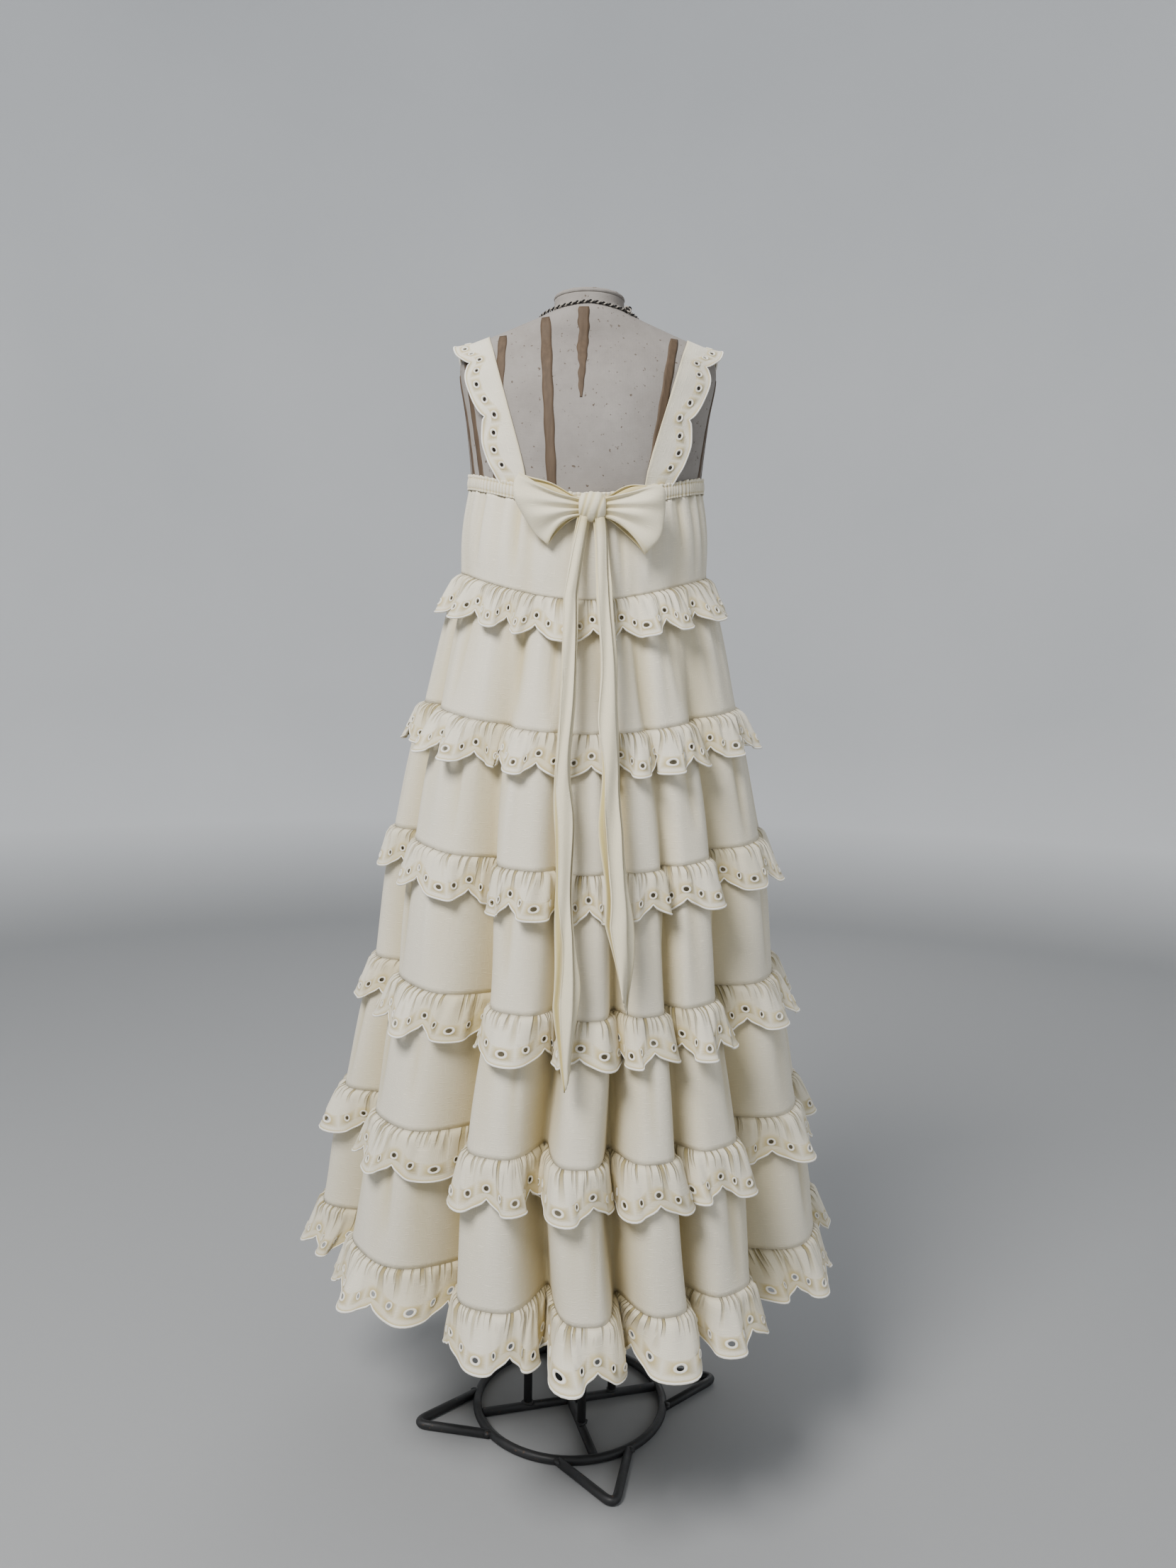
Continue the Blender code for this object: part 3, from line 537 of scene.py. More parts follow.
def tape_strip(name, start, end, start_z, end_z, material, straight=False, ragged=False):
    """A strip on the form between two angles, or two x where straight; a ragged one tapers to a torn end."""
    rows, columns = 60, 5
    down = np.linspace(0, 1, rows)[:, None]
    across = np.linspace(-1, 1, columns)[None, :]
    z = start_z + (end_z - start_z) * down + 0 * across
    reach = np.hypot(*form_reach(z)) / math.sqrt(2)
    middle = start + (end - start) * down**0.8
    if straight:
        sideways = (start + (end - start) * down) / form_reach(z)[0]
        middle = np.degrees(np.arcsin(np.clip(sideways, -0.97, 0.97)))
    taper = 1 - 0.75 * down**2 if ragged else 1
    wander = 0.08 * np.sin(37 * down + start)
    if ragged:
        wander = wander + 0.20 * np.clip(-across, 0, 1) * (np.sin(17 * down) + 0.6 * np.sin(43 * down + 1))
    half = np.degrees(TAPE_WIDTH / 2 / reach) * taper * (1 + wander)
    top = form_point(middle + across * half, z, 0.0006)
    low = form_point(middle + across * half, z, -0.0004)
    quads, points = thicken(top.reshape(-1, 3), low.reshape(-1, 3), grid_quads(rows, columns))
    return build_mesh(name, points, quads, material)


def thicken(front, back, quads):
    """The faces and points of a shell between two layers of one grid, closed along every free edge."""
    count = len(front)
    starts, ends = quads.ravel(), np.roll(quads, -1, axis=1).ravel()
    keys = np.minimum(starts, ends) * count + np.maximum(starts, ends)
    _, place, times = np.unique(keys, return_index=True, return_counts=True)
    free = place[times == 1]
    a, b = starts[free], ends[free]
    rims = np.stack([b, a, a + count, b + count], axis=1)
    return np.concatenate([quads, quads[:, ::-1] + count, rims]), np.concatenate([front, back])


def twisted_cord(name, path, radius, material):
    """Two strands wound round a path: each is a tube whose middle circles the path once in each lay."""
    step = np.linalg.norm(np.diff(path, axis=0), axis=1)
    run = np.concatenate([[0], np.cumsum(step)])
    count = int(run[-1] / CORD_STEP)
    even = np.linspace(0, run[-1], count)
    middle = np.stack([np.interp(even, run, path[:, i]) for i in range(3)], axis=1)
    along = unit(np.gradient(middle, axis=0))
    side = unit(np.cross(along, [0.3, 0.2, 0.93]))
    up = np.cross(side, along)
    turn = np.linspace(0, 2 * np.pi, STRAND_SIDES, endpoint=False)
    ring = side[:, None] * np.cos(turn)[None, :, None] + up[:, None] * np.sin(turn)[None, :, None]
    size = count * STRAND_SIDES
    layers, faces, caps = [], [], []
    for strand in (0, 1):
        wind = 2 * np.pi * even / CORD_LAY + strand * np.pi
        centre = middle + (side * np.cos(wind)[:, None] + up * np.sin(wind)[:, None]) * radius * 0.5
        layers.append((centre[:, None] + ring * radius * 0.55).reshape(-1, 3))
        faces.append(grid_quads(count, STRAND_SIDES, closed=True) + strand * size)
        caps += [[strand * size + corner for corner in cap] for cap in end_caps(count, STRAND_SIDES)]
    strand_mark = np.repeat([0.0, 1.0], size)
    marks = together(strand_mark, strand_mark, strand_mark)
    quads = np.concatenate(faces)
    return face_out(build_mesh(name, np.concatenate(layers), quads, material, marks=marks, caps=caps))


def cord_yarn():
    """Twisted yarn, one black strand and one grey-white, told apart by the mesh's marks."""
    material, tree, shader, place = new_material("twisted yarn", 0.85, specular=0.25)
    strand = add_node(tree, "ShaderNodeAttribute", attribute_name="marks")
    fuzz = noise(tree, place, 900.0, 2.0)
    pale = mixed(tree, fuzz, (0.22, 0.20, 0.17, 1), (0.42, 0.39, 0.34, 1))
    colour = mixed(tree, strand.outputs["Fac"], (0.014, 0.013, 0.013, 1), pale)
    finish_looks(tree, shader, colour, fuzz, 0.4, 0.0003)
    return material


def make_form():
    """The torso's smooth skin, its cap, tapes and cords."""
    canvas = canvas_cloth()
    z, wide, deep = (column[:, None] for column in spline(FORM, np.linspace(0, len(FORM) - 1, FORM_ROWS)).T)
    turn = np.linspace(0, 2 * np.pi, FORM_SIDES, endpoint=False)
    skin = together(wide * np.sin(turn), -deep * np.cos(turn), z)[::-1]
    quads, caps = grid_quads(FORM_ROWS, FORM_SIDES, closed=True), end_caps(FORM_ROWS, FORM_SIDES)
    torso = face_out(build_mesh("form_body", skin, quads, canvas, caps=caps))
    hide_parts("form_torso")
    top = turned(NECK_RADIUS * CAP_REACH, NECK_FOOT + (NECK_TOP - NECK_FOOT) * CAP_RISE, CAP_SIDES)[::-1]
    wrinkle = 0.0006 * np.sin(9 * np.arctan2(top[..., 0], top[..., 1]) + 60 * top[..., 2])
    top[..., 2] -= np.abs(wrinkle)
    quads, caps = grid_quads(len(top), CAP_SIDES, closed=True), end_caps(len(top), CAP_SIDES)
    cap = face_out(build_mesh("form_cap", top, quads, canvas, caps=caps))
    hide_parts("form_neck_cap")
    paper = paper_tape()
    tapes = [tape_strip(f"form_tape_{i}", *row, paper) for i, row in enumerate(TAPES, start=1)]
    for i, row in enumerate(STRAIGHT_TAPES, start=len(TAPES) + 1):
        tapes.append(tape_strip(f"form_tape_{i}", *row, paper, straight=True))
    tapes.append(tape_strip("form_tape_torn", *RAGGED_TAPE, paper, straight=True, ragged=True))
    yarn = cord_yarn()
    neck_turn = np.linspace(-180, 180, 160)
    neck_z = 1.5225 + 0.004 * np.cos(np.radians(neck_turn)) - 0.006 * np.abs(np.sin(np.radians(neck_turn)))
    neck = form_point(neck_turn, neck_z, CORD_RADIUS)
    wind = np.linspace(0, 4 * np.pi, 60)
    knot = form_point(CORD_KNOT_ANGLE + 0 * wind, CORD_KNOT_HEIGHT + 0 * wind, CORD_KNOT_STAND_OFF)
    knot = knot + CORD_KNOT_REACH * together(np.cos(wind), np.sin(wind), np.sin(2 * wind))
    cords = [
        twisted_cord("form_neck_cord", neck, CORD_RADIUS, yarn),
        twisted_cord("form_neck_knot", knot, CORD_RADIUS, yarn),
    ]
    for piece in [torso, cap, *tapes, *cords]:
        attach(piece, "root")


make_form()

# The dress's own shape: seven levels of oval, drawn in by long folds that are rounded at their crests and
# narrow in their valleys. Every cloth piece below is worked out from these.
LEVELS = np.array(  # height at the sides and at the back, half width, half depth, share of the hem's folds
    [
        (1.308, 1.271, 0.156, 0.118, 0.00),
        (1.182, 1.141, 0.166, 0.132, 0.06),
        (1.010, 0.976, 0.212, 0.180, 0.35),
        (0.840, 0.810, 0.250, 0.224, 0.60),
        (0.660, 0.645, 0.274, 0.264, 0.80),
        (0.481, 0.482, 0.312, 0.302, 0.92),
        (0.310, 0.310, 0.343, 0.330, 1.00),
        (0.248, 0.248, 0.360, 0.348, 1.02),
    ]
)
NECK_DROP_POWER = 1.5  # how quickly the back's dip fades towards the sides
FOLDS = (  # crest's angle, its reach, valley's angle, its reach
    (-176, 1.01, -163, 0.80),
    (-148, 0.98, -134, 0.82),
    (-120, 1.00, -106, 0.79),
    (-90, 1.03, -75, 0.85),
    (-56, 0.94, -33, 0.74),
    (-17, 0.98, -7, 0.82),
    (3.5, 1.03, 11, 0.86),
    (20, 1.01, 28.5, 0.88),
    (35, 0.97, 53, 0.75),
    (74, 0.98, 88, 0.82),
    (103, 1.03, 117, 0.83),
    (131, 0.97, 144, 0.79),
    (158, 1.00, 171, 0.84),
)
CREST_FULLNESS = 2.3
VALLEY_ROUNDING = 1.5  # degrees either way over which a valley's sharp bottom is rounded
FOLD_STEEPNESS = 0.75  # how far a fold's flanks are steepened, which flattens its crest and its bottom
VALLEY_PINCH = 0.13  # how much deeper than the solid's a valley runs at its very bottom
BILLOW = 0.005  # how far a tier swells below its gathered seam
SHELL = 0.0009  # thickness of the modelled cloth
FULLNESS = 1.15  # a tier's flat width over the length of its foot seam, for gathers too small to model


def level_row(level):
    """Side height, back height, half width, half depth and share of folds at a level."""
    return [np.interp(level, np.arange(len(LEVELS)), column) for column in LEVELS.T]


def fold_shape(degrees):
    """Share of the oval reached at each angle, and how near it is to a crest, from 0 to 1.

    Between a crest and a valley the reach falls as 1 - share**fullness, and is averaged over a few degrees.
    """
    knots = sorted([(f[0], f[1], 1) for f in FOLDS] + [(f[2], f[3], 0) for f in FOLDS])
    knots.append((knots[0][0] + 360, knots[0][1], knots[0][2]))
    place, reach, is_crest = (np.array(column, float) for column in zip(*knots))
    total, near = 0, 0
    for offset in (-1, -0.5, 0, 0.5, 1):
        angle = (np.asarray(degrees, float) + offset * VALLEY_ROUNDING - place[0]) % 360 + place[0]
        low = np.clip(np.searchsorted(place, angle, side="right") - 1, 0, len(place) - 2)
        share = (angle - place[low]) / (place[low + 1] - place[low])
        from_crest = np.where(is_crest[low] > 0, share, 1 - share)
        crest = np.where(is_crest[low] > 0, reach[low], reach[low + 1])
        valley = np.where(is_crest[low] > 0, reach[low + 1], reach[low])
        height = 1 - from_crest**CREST_FULLNESS
        height = height + FOLD_STEEPNESS * (eased(height) - height)
        total = total + (valley + (crest - valley) * height) / 5
        near = near + height / 5
    return total - VALLEY_PINCH * (1 - near) ** 1.6, near


def drift(degrees, level):
    """Degrees by which a fold strays from its own line on its way down: two slow waves."""
    turn = np.radians(degrees)
    lower = np.clip(level - 1, 0, 6)
    return 1.1 * np.sin(1.9 * lower + 2 * turn) + 0.6 * np.sin(3.1 * lower - 3 * turn + 1)


def radius(degrees, level):
    """Distance of the cloth's outer face from the axis: the level's oval, its folds and a tier's billow."""
    _, _, half_width, half_depth, folds = level_row(level)
    turn = np.radians(degrees)
    oval = 1 / np.hypot(np.sin(turn) / half_width, np.cos(turn) / half_depth)
    reach = fold_shape(degrees + drift(degrees, level))[0]
    down = np.where(np.asarray(level) >= 1, np.asarray(level) % 1, 0)
    return oval * (1 + folds * (reach - 1)) + BILLOW * np.sin(np.pi * down**0.6) * (np.asarray(level) < 6)


def height(degrees, level):
    """Height of a level at each angle: it dips towards the middle of the back."""
    side, back, *_ = level_row(level)
    dip = np.clip(np.cos(np.radians(degrees)), 0, None) ** NECK_DROP_POWER
    return side + (back - side) * dip


def round_point(degrees, reach, z):
    """A point at an angle, a distance from the axis and a height."""
    turn = np.radians(degrees)
    return together(reach * np.sin(turn), -reach * np.cos(turn), z)


def outward(degrees, level):
    """A level direction off the cloth: mostly straight out, turned part of the way to the fold's face."""
    step = 0.6
    slope = (radius(degrees + step, level) - radius(degrees - step, level)) / np.radians(2 * step)
    lean = -0.55 * slope / radius(degrees, level)
    turn = np.radians(degrees)
    return unit(together(np.sin(turn) + lean * np.cos(turn), -np.cos(turn) + lean * np.sin(turn), 0 * turn))


def seam_table(level):
    """Shares of a level's length round the dress from the front's middle, their angles, and the length."""
    fine = np.linspace(-180, 180, 2881)
    points = round_point(fine, radius(fine, level), 0 * fine)
    run = np.concatenate([[0], np.cumsum(np.linalg.norm(np.diff(points, axis=0), axis=1))])
    return run / run[-1], fine, run[-1]


SEAMS = {level: seam_table(level) for level in range(7)}


def seam_angle(level, share):
    """The angle at a share of a seam's length, which may run past either end."""
    places, angles, _ = SEAMS[level]
    whole = np.floor(share)
    return np.interp(share - whole, places, angles) + 360 * whole


def smooth_noise(place, seed, count):
    """Values from -1 to 1 that pass smoothly through one random value at each whole place, and repeat."""
    values = np.random.default_rng(seed).uniform(-1, 1, count)
    first = np.floor(place).astype(int)
    t = eased(place - first)
    return values[first % count] * (1 - t) + values[(first + 1) % count] * t


# The cloth: a light plain weave of cotton and linen with slubs both ways, cream, with painted warm shade down
# in the folds that stands for the shade there and for light coming through the cloth.
# The mesh's marks say how much painted fold shade a point gets, whether it is embroidery, and how much
# painted shade or darker seam line it gets.
SLUB_SCALES = (((62, 880, 1), 0.585), ((900, 45, 1), 0.62))  # along and across, and how rare they are
GATHER_SCALES = ((180, 0.54, 0.63, 0.019), (95, 0.57, 0.66, 0.036))  # number, faint and full strength, reach


def slub_weave_group():
    """Fine threads both ways, and long thin slubs among them, on a map in metres of cloth."""
    tree = bpy.data.node_groups.new("slub weave", "ShaderNodeTree")
    tree.interface.new_socket("Flat", in_out="INPUT", socket_type="NodeSocketVector")
    tree.interface.new_socket("Slubs", in_out="INPUT", socket_type="NodeSocketFloat")
    tree.interface.new_socket("Height", in_out="OUTPUT", socket_type="NodeSocketFloat")
    tree.interface.new_socket("Tone", in_out="OUTPUT", socket_type="NodeSocketFloat")
    inside = tree.nodes.new("NodeGroupInput")
    outside = tree.nodes.new("NodeGroupOutput")
    flat = inside.outputs["Flat"]
    slubs = []
    for scale, low in SLUB_SCALES:
        slubs.append(ramp(tree, noise(tree, stretched(tree, flat, scale), 1.0, 1.5), low, low + 0.12))
    even = crossed_threads(tree, flat, 330.0, 1.5, "XY", **{"Detail Scale": 2.0})
    raised = worked(tree, "MULTIPLY", worked(tree, "MAXIMUM", *slubs), inside.outputs["Slubs"])
    feed(tree, outside.inputs["Height"], worked(tree, "MULTIPLY_ADD", even, 0.35, raised))
    feed(tree, outside.inputs["Tone"], raised)
    return tree


SLUB_WEAVE = slub_weave_group()


def gather_lines(tree, flat):
    """Short narrow creases down from a gathered edge, 1 in a crease and 0 beside it, fading with distance."""
    down = add_node(tree, "ShaderNodeSeparateXYZ", {"Vector": flat}).outputs["Y"]
    creases = []
    for scale, low, high, reach in GATHER_SCALES:
        line = ramp(tree, noise(tree, stretched(tree, flat, (scale, 9, 1)), 1.0, 0.5), low, high)
        creases.append(worked(tree, "MULTIPLY", line, ramp(tree, down, 0.0, reach, 1.0, 0.0)))
    return worked(tree, "MAXIMUM", *creases)


def tone(colour, share):
    """A colour made darker or lighter."""
    return (*(min(1.0, part * share) for part in colour), 1)


def woven_cloth(name, colour, painted_shade_colour, thread_colour, slubs, gathered=False):
    """Cloth of one colour, with painted shade in its folds, creases and stitch outlines, raised embroidery
    thread and darker seam lines.
    """
    material, tree, shader, place = new_material(name, 0.88, sheen=0.12, specular=0.3)
    flat = add_node(tree, "ShaderNodeUVMap", uv_map="flat").outputs["UV"]
    weave = add_node(tree, "ShaderNodeGroup", node_tree=SLUB_WEAVE)
    feed(tree, weave.inputs["Flat"], flat)
    feed(tree, weave.inputs["Slubs"], slubs)
    marks = add_node(tree, "ShaderNodeAttribute", attribute_name="marks")
    mark = add_node(tree, "ShaderNodeSeparateColor", {"Color": marks.outputs["Color"]})
    base = mixed(tree, noise(tree, place, 11.0, 4.0), tone(colour, 0.93), tone(colour, 1))
    slubbed = mixed(tree, weave.outputs["Tone"], base, tone(colour, 1.15))
    # Painted warm shade in the folds, laid on by the mesh's red mark.
    fold_shaded = mixed(tree, mark.outputs["Red"], slubbed, tone(painted_shade_colour, 1))
    # Painted shade along the lines outside the stitches, and darker seam lines, laid on by the blue mark.
    shaded_and_seamed = mixed(tree, mark.outputs["Blue"], fold_shaded, tone(painted_shade_colour, 0.95))
    hollow = None
    if gathered:
        creases = gather_lines(tree, flat)
        # Painted shade in the gather creases, which are also pressed in by a bump.
        shaded_and_seamed = mixed(tree, creases, shaded_and_seamed, tone(painted_shade_colour, 0.62))
        bump = {"Height": creases, "Strength": 1.0, "Distance": 0.003}
        hollow = add_node(tree, "ShaderNodeBump", bump, invert=True).outputs["Normal"]
    threaded = mixed(tree, mark.outputs["Green"], shaded_and_seamed, tone(thread_colour, 1))
    finish_looks(tree, shader, threaded, weave.outputs["Height"], 0.55, 0.0006, under=hollow)
    return material


# The second tone is the painted shade of the folds.
CREAM_TONES = ((0.82, 0.765, 0.625), (0.53, 0.42, 0.17), (0.90, 0.875, 0.80))  # flat, in folds, thread
CREAM = woven_cloth("cream slub linen", *CREAM_TONES, 0.8)
BORDER = woven_cloth("cream eyelet border", *CREAM_TONES, 0.6, gathered=True)


def cloth_shell(name, points, normals, quads, flat, marks, material, thickness, round_length=None):
    """A closed thin piece: the middle surface moved out and in by half its thickness at each point."""
    points, normals = points.reshape(-1, 3), normals.reshape(-1, 3)
    half = np.broadcast_to(np.ravel(thickness) / 2, len(points))[:, None]
    faces, layers = thicken(points + normals * half, points - normals * half, quads)
    flat, marks = (np.concatenate([both, both]) for both in (flat.reshape(-1, 2), marks.reshape(-1, 3)))
    return build_mesh(name, layers, faces, material, flat=flat, round_length=round_length, marks=marks)


def face_normals(surface, u, v, step_u, step_v, flip=False):
    """Unit normals of a surface function: down crossed with along, by central differences."""
    along = surface(u + step_u, v) - surface(u - step_u, v)
    down = surface(u, v + step_v) - surface(u, v - step_v)
    normal = unit(np.cross(down, along))
    return -normal if flip else normal


def declare_dress(piece):
    """States what a sheet of cloth rides on."""
    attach(piece, "root")


# The bodice and the five tiers: each a straight strip of cloth, gathered along its top into the seam above
# and sewn flat at its foot. Creases run down from the gathers and die away.
TIER_ROWS = 25
TIER_COLUMNS = (260, 300, 340, 360, 380, 400)
CASING_HEIGHT = 0.016
TOP_OF_BODICE = CASING_HEIGHT / (LEVELS[0, 0] - LEVELS[1, 0])
GATHERS = {  # piece: fine gathers round it and their depth, broad ones and their depth
    0: (66, 0.0028, 26, 0.0043),
    1: (84, 0.0030, 31, 0.0062),
    2: (94, 0.0024, 34, 0.0052),
    3: (104, 0.0022, 37, 0.0050),
    4: (112, 0.0022, 39, 0.0050),
    5: (122, 0.0024, 41, 0.0054),
}
# Creases that stand out: tier, angle, half width in degrees, depth in metres (a ridge below zero), the shares
# of the tier's height where it starts and dies, and how far it leans to the right on its way, in degrees.
CREASES = (
    (0, -40, 2.4, 0.0040, 0.0, 0.8, 1.0),
    (0, -22, 1.8, 0.0035, 0.0, 0.6, -1.5),
    (0, 21, 2.2, 0.0050, 0.1, 1.0, 1.0),
    (0, 34, 1.6, -0.0025, 0.0, 0.9, 0.5),
    (0, 58, 2.0, 0.0030, 0.0, 0.7, 0.0),
    (0, -63, 1.8, 0.0030, 0.0, 0.9, -1.0),
    (1, -58, 2.0, 0.0045, 0.2, 1.0, -2.0),
    (1, -44, 1.4, -0.0030, 0.2, 1.0, 0.5),
    (1, -30, 2.2, 0.0055, 0.2, 0.9, 1.0),
    (1, -13, 1.6, 0.0050, 0.1, 1.0, 0.5),
    (1, 24, 1.8, 0.0050, 0.2, 1.0, 2.0),
    (1, 41, 2.2, 0.0045, 0.1, 0.9, 2.5),
    (1, 62, 1.7, 0.0035, 0.2, 1.0, 1.0),
    (2, -68, 1.6, 0.0050, 0.2, 1.0, -1.0),
    (2, -47, 1.2, 0.0035, 0.3, 0.9, 0.5),
    (2, -24, 1.6, -0.0035, 0.2, 1.0, -0.5),
    (2, 15, 1.2, 0.0045, 0.2, 1.0, 0.5),
    (2, 40, 1.6, 0.0050, 0.2, 0.8, 1.5),
    (2, 66, 1.5, 0.0040, 0.2, 1.0, 0.5),
    (3, -64, 1.5, 0.0055, 0.2, 1.0, 1.0),
    (3, -50, 1.1, -0.0030, 0.3, 1.0, 0.5),
    (3, -20, 1.2, 0.0045, 0.2, 0.8, 0.5),
    (3, 25, 1.3, 0.0050, 0.2, 1.0, 0.5),
    (3, 44, 1.8, 0.0050, 0.2, 0.9, 1.0),
    (3, 70, 1.2, 0.0040, 0.2, 1.0, -0.5),
    (4, -84, 1.4, 0.0050, 0.3, 1.0, 1.5),
    (4, -62, 1.6, 0.0060, 0.2, 1.0, 0.5),
    (4, -46, 1.2, 0.0040, 0.3, 0.8, -1.0),
    (4, -15, 0.9, 0.0040, 0.2, 1.0, 0.4),
    (4, 18, 1.1, 0.0045, 0.2, 0.9, 0.5),
    (4, 41, 1.7, 0.0055, 0.2, 1.0, 1.5),
    (4, 78, 1.2, 0.0040, 0.2, 1.0, 1.0),
    (5, -88, 1.2, 0.0050, 0.2, 1.0, 0.5),
    (5, -66, 1.5, 0.0060, 0.3, 1.0, -1.0),
    (5, -50, 1.3, 0.0050, 0.2, 0.8, 1.0),
    (5, -17, 0.9, -0.0035, 0.2, 1.0, 0.3),
    (5, 5, 0.9, 0.0040, 0.3, 1.0, -0.5),
    (5, 38, 1.3, 0.0050, 0.2, 1.0, 1.0),
    (5, 70, 1.4, 0.0055, 0.2, 0.9, 0.5),
)
CREASES_BEHIND = 173  # the hidden side has the same kinds of creases, turned by this many degrees


def gather_depth(number, share, degrees, down):
    """How far the cloth is drawn in: two rows of waves that fade downwards, and the placed creases.

    A wave is (1 - cos) / 2 to the power 1.5, so that its ridges are rounder than its troughs.
    """
    fine_count, fine, broad_count, broad = GATHERS[number]
    total = 0
    for count, depth, fade, wander in ((fine_count, fine, 1.8, 2), (broad_count, broad, 0.55, 3)):
        stray = 2.1 * np.sin(2 * np.pi * wander * share + number)
        stray = stray + 1.6 * np.sin(2 * np.pi * 7 * share + count)
        wave = ((1 - np.cos(2 * np.pi * count * share + stray)) / 2) ** 1.5
        uneven = 0.6 + 0.4 * smooth_noise(share * 17, 31 + number + count, 17)
        total = total + depth * uneven * wave * np.clip(1 - down, 0, 1) ** fade
    for turned_by in (0, CREASES_BEHIND):
        for tier, angle, half, depth, start, end, lean in CREASES:
            if tier != number:
                continue
            middle = angle + turned_by + lean * down
            off = (degrees - middle + 180) % 360 - 180
            span = np.clip((down - start) / (end - start), 0, 1)
            along = np.sin(np.pi * span**0.6) ** 0.7
            total = total + depth * np.exp(-((off / half) ** 2)) * along
    return total


def tier_surface(number):
    """The function that places a tier's point from its share round the seam above and its share down."""
    top = TOP_OF_BODICE if number == 0 else number

    def surface(share, down):
        degrees = seam_angle(max(number, 1), share)
        level = top + (number + 1 - top) * down
        drawn_in = gather_depth(number, share, degrees, down)
        settle = 1 - 0.8 * np.exp(-((1 - down) / 0.05))
        bodice_slack = 0.004 * np.sin(np.pi * down) * (number == 0)
        reach = radius(degrees, np.minimum(level, number + 0.99999)) + bodice_slack
        return round_point(degrees, reach - drawn_in * settle, height(degrees, level))

    return surface


def make_tier(number):
    """One tube of cloth from a seam to the next; the bodice is number 0."""
    surface = tier_surface(number)
    columns = TIER_COLUMNS[number]
    share, down = np.meshgrid(np.arange(columns) / columns, np.linspace(0, 1, TIER_ROWS))
    points = surface(share, down)
    normals = face_normals(surface, share, down, 0.25 / columns, 0.004)
    degrees = seam_angle(max(number, 1), share)
    near = fold_shape(degrees + drift(degrees, number + down))[1]
    folds = level_row(number + down)[4]
    drawn = gather_depth(number, share, degrees, down)
    # Painted shade in the fold valleys and in the hollows of the gathers.
    deep = np.clip((1 - near) ** 1.1 * np.sqrt(folds) * 0.85 + drawn / 0.013, 0, 1)
    length = SEAMS[number + 1][2] * FULLNESS
    drop = float(height(90, TOP_OF_BODICE if number == 0 else number) - height(90, number + 1))
    node = "bodice" if number == 0 else f"tier_{number}"
    piece = cloth_shell(
        f"{node}_cloth",
        points - normals * SHELL / 2,
        normals,
        grid_quads(TIER_ROWS, columns, closed=True),
        together(share * length, down * drop),
        together(deep, 0 * deep, 0 * deep),
        CREAM,
        SHELL,
        round_length=length,
    )
    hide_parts(node)
    declare_dress(piece)


for tier_number in range(6):
    make_tier(tier_number)

# The ruffles: bought border of the same cloth, its scalloped edge bound with satin stitch over a cord, with
# four embroidered eyelets to a scallop. Each strip is drawn in to between six and eight tenths of its length
# and sewn into its seam.
RUFFLES = (  # scallops round it, depth, and how wide a scallop is when flat
    (20, 0.054, 0.078),
    (26, 0.055, 0.078),
    (32, 0.056, 0.080),
    (36, 0.057, 0.088),
    (40, 0.058, 0.094),
    (46, 0.062, 0.092),
)
SCALLOP_RISE = 0.017
SCALLOP_ROUNDNESS = 0.62
EYELETS_A_SCALLOP = 4
EYELET_INSET = 0.0150  # of the holes along the arc from the edge
EYELET_LIFT = 0.0175  # how much higher the one above the notch lies
HOLE = 0.0027  # radius of an eyelet's hole
STITCHED = 0.0052  # radius of the stitched ring round it
STITCH_RISE = 0.0009  # how far the satin stitch of the edge stands up
HOLE_BOX = 0.0082  # half the height of the patch of cloth that holds it
CELL_COLUMNS = 6
SEAM_ROWS = 6
FOOT_ROWS = 2
EDGE_ROWS = 4
EDGE_CORD = 0.0026  # width of the satin-stitched edge
RINGS = ((STITCHED, 0.0), (0.0040, 0.0012), (HOLE, 0.0002))  # radius and height of each


def scallop_depth(place, depth, rise):
    """Depth of the border at a place counted in scallops: round arches that meet in sharp notches."""
    return depth - rise * (1 - np.abs(np.sin(np.pi * place)) ** SCALLOP_ROUNDNESS)


